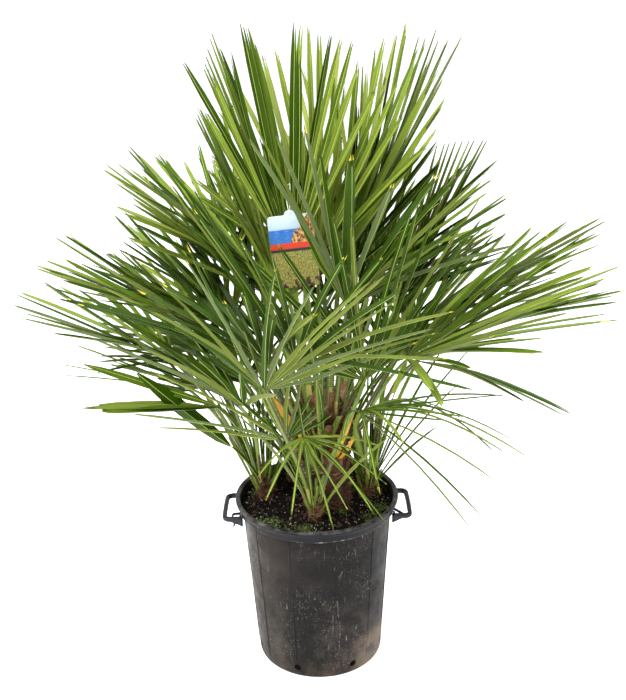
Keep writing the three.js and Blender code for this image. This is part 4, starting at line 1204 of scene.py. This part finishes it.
def dress_pot():
    wall = [(pot_wall(z), z) for z in WALL_LEVELS]
    rings = []
    for radius, z in [*FOOT_PROFILE, *wall, *LIP_PROFILE, *INNER_PROFILE]:
        seam = SEAM_HEIGHT if (radius, z) in wall and SEAMED[0] < z < SEAMED[1] else 0
        ring = []
        for bearing, height in pot_columns():
            turn = radians(bearing - 90)
            spot = Vector((cos(turn) * 1.6, sin(turn) * 1.6, z / 130))
            wobble = 0.9 * noise.noise(spot) if 20 < z < 428 and radius > 150 else 0.0
            out = radius + wobble + seam * height
            ring.append((out * cos(turn), out * sin(turn), z))
        rings.append(ring)
    pot = Mesher()
    pot.loft(rings)
    obj = pot.piece("pot_shell", [pot_look()], "pot_plastic", ["pot"], 42)
    for k in range(DRAIN["count"]):
        drill = Mesher()
        turn = DRAIN["first"] + 360 * k / DRAIN["count"] - 90
        out, side = heading(turn), heading(turn - 90)
        section = arc((0, DRAIN["height"]), DRAIN["radius"], 0, -15, 24)
        drill.loft([[out * far + side * a + up(z) for a, z in section] for far in (120, 190)])
        cut_hole(obj, drill)


def cut_hole(obj, drill):
    tool = new_object("drill", new_mesh("drill", np.vstack(drill.points) * MM, drill.faces))
    cut = obj.modifiers.new("hole", "BOOLEAN")
    cut.operation, cut.object, cut.solver = "DIFFERENCE", tool, "EXACT"
    apply_modifiers(obj)
    bpy.data.objects.remove(tool)


def apply_modifiers(obj):
    graph = bpy.context.evaluated_depsgraph_get()
    made = bpy.data.meshes.new_from_object(obj.evaluated_get(graph))
    made.name = obj.name
    obj.modifiers.clear()
    obj.data = made


def handle_path(half, outer, inner, corner=13):
    leg = [(inner, -half), ((inner + outer - corner) / 2, -half),
           *arc((outer - corner, corner - half), corner, -90, 15, 7), (outer + 0.8, -half * 0.4)]
    return [*leg, (outer + 0.9, 0), *[(x, -y) for x, y in reversed(leg)]]


# strut of the right handle (1) and of the left (-1): distance out, inward from the front leg, and rise
STRUTS = {1: [(186, 34, 1), (198, 20, 0), (211, 4, -1)],
          -1: [(187, 26, 2), (203, 26, 1), (206, 22, 0), (206.5, 3, -1)]}
# the left handle's hook: distance out, drop and scale of its section
HOOK = [(201, 5, 1), (201, 12, 1), (202, 17, 0.9), (205, 20, 0.5)]
HOOK_RING = [(-2.4, -2), (-2.4, 2), (2.4, 2), (2.4, -2)]


def dress_handle(side):
    """The right handle for 1, the left for -1: bar, webs under its legs, a small strut, and a hook."""
    z, thick = HANDLE["height"], HANDLE["thick"]
    half = HANDLE["half_span"] - thick / 2
    mesher = Mesher()
    outer = HANDLE["outer"] - thick / 2 - 0.8
    path = [(x, y, z + 1.2 * sin(y / 30)) for x, y in handle_path(half, outer, 180.5)]
    sweep(mesher, path, oval(thick, HANDLE["tall"], 14, 3.2))
    front = -side
    for y in (-half, half):
        heavy = 1.25 if y * front > 0 else 1.0
        web = [(180.4, z - 4), (212, z - 4), (200, z - 9), (180.4, z - 15 * heavy)]
        mesher.loft([[(x, y + s * 3 * heavy, low) for x, low in web] for s in (1, -1)])
        sweep(mesher, [(186.5, y + shift * heavy, z) for shift in (-9, 0, 9)], oval(6, 14, 10, 3.0))
    y = front * half
    strut = [(x, y - front * inward, z + rise) for x, inward, rise in STRUTS[side]]
    sweep(mesher, strut, oval(4, 7, 10, 3.0))
    if side < 0:
        rings = [[(x + dx * scale, y + dy * scale, z - drop) for dx, dy in HOOK_RING]
                 for x, drop, scale in HOOK]
        mesher.loft(rings[::-1])
    if side < 0:
        mesher.points = [points * np.array([-1, -1, 1]) for points in mesher.points]
    name = "right" if side > 0 else "left"
    obj = mesher.piece("handle_" + name, [handle_look()], "pot_plastic", ["pot_handle_" + name], 45)
    soften = obj.modifiers.new("edges", "BEVEL")
    soften.width, soften.segments, soften.limit_method = 0.0009, 2, "ANGLE"
    soften.angle_limit = radians(50)
    apply_modifiers(obj)


# Tag

def rounded_outline():
    """The card's outline with round corners and a raised eye at the middle of its top, anticlockwise."""
    corner, low, high = 8, 6 - TAG["height"], -10
    side = TAG["width"] / 2 - corner
    turns = [arc(centre, corner, first, 18, 6) for centre, first in
             (((side, low), -90), ((side, high), 0), ((-side, high), 90), ((-side, low), 180))]
    rise = [(15, -2), (12.4, -1), (11, 2), (9, 5.6), (5.5, 8), (0, 8.6)]
    return [*turns[0], *turns[1], *rise, *[(-x, z) for x, z in rise[-2::-1]], *turns[2], *turns[3]]


def dress_tag(frond):
    """The card where the part's source hung it, told by its node, and the cord round one leaflet."""
    direction, across, over = frond.leaflet(TAG["leaflet"])[:3]
    held = frond.hub + direction * (frond.radius + CORD["above"])
    points = node_points("tag")
    card_y = points[points[:, 2] < points[:, 2].min() + 40][:, 1].mean()
    eye = np.array([held[0] + HANG["shift"], card_y, held[2] - HANG["drop"]])
    dress_card(eye)
    half = across * (frond.radius + CORD["above"]) * sin(radians(frond.step / 2))
    behind = over * (LEAFLET_DEPTH + CORD["behind"])
    loop = [held - half + over, held - half * 0.5 - behind, held + half * 0.5 - behind, held + half + over]
    knots = eye + np.array([(0, 1.5, 3), (-0.8, -1.8, 3), (0.8, -1.8, 3.4), (0, 1.5, 3.4)])
    string = Mesher()
    tube(string, rounded_path([*knots[:2], *loop, *knots[2:]], 5), CORD["radius"])
    string.piece("tag_string", [speck_look("string_white", (214, 212, 204), (238, 236, 230), 0.5)],
                 "tag_card", ["tag"], 60)


def dress_card(eye):
    """The printed card with its hole, bent a little and leaning, hung by its eye."""
    outline, hole = rounded_outline(), arc((0, 3), 2.6, 0, -30, 12)
    rim = outline + hole
    lean = radians(-TAG["lean"])
    points = [(eye[0] + x * cos(lean) + z * sin(lean),
               eye[1] + back + 1.1 * cos(x / 34) - 1.1 + 0.8 * sin(z / 60),
               eye[2] - x * sin(lean) + z * cos(lean)) for back in (-TAG["thick"] / 2, TAG["thick"] / 2)
              for x, z in rim]
    grain = [(x / TAG["width"] + 0.5, (z + TAG["height"] + 2) / TAG["height"]) for x, z in rim] * 2
    count = len(rim)
    faces = []
    for a, b, c in tessellate_polygon([[Vector((x, z, 0)) for x, z in loop] for loop in (outline, hole)]):
        ax, az = rim[a]
        turn = (rim[b][0] - ax) * (rim[c][1] - az) - (rim[b][1] - az) * (rim[c][0] - ax)
        a, b, c = (a, b, c) if turn > 0 else (a, c, b)
        faces += [(a, b, c), (a + count, c + count, b + count)]
    looks = [k % 2 for k in range(len(faces))]
    for first, size in ((0, len(outline)), (len(outline), len(hole))):
        ring = [(first + k, first + (k + 1) % size) for k in range(size)]
        faces += [(a, a + count, b + count, b) for a, b in ring]
        looks += [1] * size
    card = Mesher()
    card.body(points, faces, looks, grain)
    back = speck_look("tag_back", (206, 208, 204), (228, 230, 226), 0.4)
    card.piece("tag_card", [print_look(), back], "tag_card", ["tag"], 50)


def rounded_path(corners, steps):
    """A smooth path through the given places."""
    corners = np.array(corners)
    ends = np.vstack([2 * corners[0] - corners[1], corners, 2 * corners[-1] - corners[-2]])
    path = []
    for a, b, c, d in zip(ends, ends[1:], ends[2:], ends[3:]):
        for t in np.arange(steps) / steps:
            path.append(b * (2 * t**3 - 3 * t**2 + 1) + (c - a) * 0.35 * (t**3 - 2 * t**2 + t)
                        + c * (3 * t**2 - 2 * t**3) + (d - b) * 0.35 * (t**3 - t**2))
    return np.array([*path, corners[-1]])


def tube(mesher, path, radius, count=7):
    """A round cord along any path, with its section carried along without a twist."""
    ways = units(np.gradient(path, axis=0))
    side = unit(np.cross(ways[0], [0.3, 0.2, 0.9]))
    rings = []
    for place, way in zip(path, ways):
        side = unit(side - way * (side @ way))
        up = np.cross(side, way)
        rings.append([place + (side * cos(a) + up * sin(a)) * radius
                      for a in -2 * pi * np.arange(count) / count])
    mesher.loft(rings)


# Yellowed stalk ends at the trunk

OLD_STALKS = [([(5, -25, 560), (-30, -64, 612), (-61, -98, 670), (-80, -102, 702), (-97, -102, 730)], 19),
              ([(34, -20, 520), (48, -62, 566), (59, -94, 613), (73, -102, 651), (88, -102, 690)], 19),
              ([(34, -20, 500), (66, -52, 556), (88, -66, 600), (96, -74, 626)], 12),
              ([(10, 20, 560), (-36, 40, 600), (-70, 70, 662)], 16),
              ([(30, 20, 540), (62, 56, 585), (84, 84, 640)], 15)]


def dress_old_stalks(looks):
    """Dried, yellow leaf bases that stand out from the trunk, each from its root in the bark."""
    old = Mesher()
    for places, width in OLD_STALKS:
        path = rounded_path(places, 4)
        ways = units(np.gradient(path, axis=0))
        out = heading(degrees(atan2(places[-1][1], places[-1][0])))
        _, sides, overs = framed(path, unit(np.cross(ways[-1], out * [0.4, 1, 1])))
        taper = np.interp(np.linspace(0, 1, len(path)), [0, 0.5, 0.85, 1], [1.15, 1, 0.75, 0.3])
        wide = width / 2 * taper[:, None]
        left, right, front, back = path - sides * wide, path + sides * wide, overs * 1.2, overs * wide * 0.4
        rings = np.stack([left, path + front, right, path - back], axis=1)
        grain = [[(s, k * 0.4) for s in (-1, 0, 1, 0)] for k in range(len(path))]
        old.loft(rings, 0, grain=grain)
    old.piece("old_leaf_bases", [looks["stalk_orange"]], "trunk_bark", ["trunk"], 40)


# Camera, light and floor

# in metres and degrees: the view looks 19.7 degrees down and is turned a little about its own line
CAMERA = {"place": (0, -2.2, 1.59), "turns": ((90 - 19.7, "X"), (-1.5, "Z")), "lens": 51.43, "sensor": 36,
          "far": 500}
# place, size and power
LAMPS = {"key": ((-1.7, -2.2, 4.2), 1.4, 270), "fill": ((2.6, -1.4, 3.0), 2.4, 28),
         "top": ((0.4, 1.2, 4.6), 2.4, 140)}
LAMPS_AIM = Vector((0, 0, 0.8))
# reach and height of the floor's edge and of the backdrop's
FLOOR_SIDES = 96
FLOOR_RINGS = [(86, 0), (90, 40)]


def dress_stage():
    """The photograph's viewing angle, soft lamps, and a pale floor whose edge rises as a backdrop."""
    scene = bpy.context.scene
    camera = bpy.data.cameras.new("camera")
    camera.lens, camera.sensor_width, camera.clip_end = CAMERA["lens"], CAMERA["sensor"], CAMERA["far"]
    scene.camera = new_object("camera", camera)
    turns = [Matrix.Rotation(radians(turn), 4, axis) for turn, axis in CAMERA["turns"]]
    scene.camera.matrix_world = Matrix.Translation(CAMERA["place"]) @ turns[0] @ turns[1]
    scene.world = bpy.data.worlds.new("studio")
    scene.world.use_nodes = True
    light = scene.world.node_tree.nodes["Background"].inputs
    light[0].default_value, light[1].default_value = (1.0, 1.0, 0.99, 1), 0.2
    for name, (place, size, power) in LAMPS.items():
        light = bpy.data.lights.new(name, "AREA")
        light.size, light.energy = size, power
        lamp = new_object(name, light)
        lamp.location = place
        lamp.rotation_euler = (LAMPS_AIM - Vector(place)).to_track_quat("-Z", "Y").to_euler()
    points = [(*place, rise) for far, rise in FLOOR_RINGS
              for place in arc((0, 0), far, 0, 360 / FLOOR_SIDES, FLOOR_SIDES)]
    mesh = new_mesh("floor", points, [tuple(range(FLOOR_SIDES)), *walls(2, FLOOR_SIDES)])
    look = Look("floor_pale", 0.8, Emission_Color=(1, 1, 1, 1), Emission_Strength=0.8)
    tone = look.ramp(look.noise(3, 2), (0.3, (0.88, 0.88, 0.88, 1)), (0.7, (0.9, 0.9, 0.9, 1)))
    mesh.materials.append(look.finish(tone))
    new_object("floor", mesh)
    scene.view_settings.view_transform = "Standard"


def main():
    dress_stage()
    looks = make_looks()
    fronds = placed_fronds()
    dress_blades(fronds, looks)
    dress_stalks(fronds, looks)
    dress_stems(looks)
    dress_old_stalks(looks)
    dress_young_leaves(fronds, looks)
    dress_soil()
    dress_pot()
    dress_handle(1)
    dress_handle(-1)
    dress_tag(fronds[TAG["frond"]])


main()
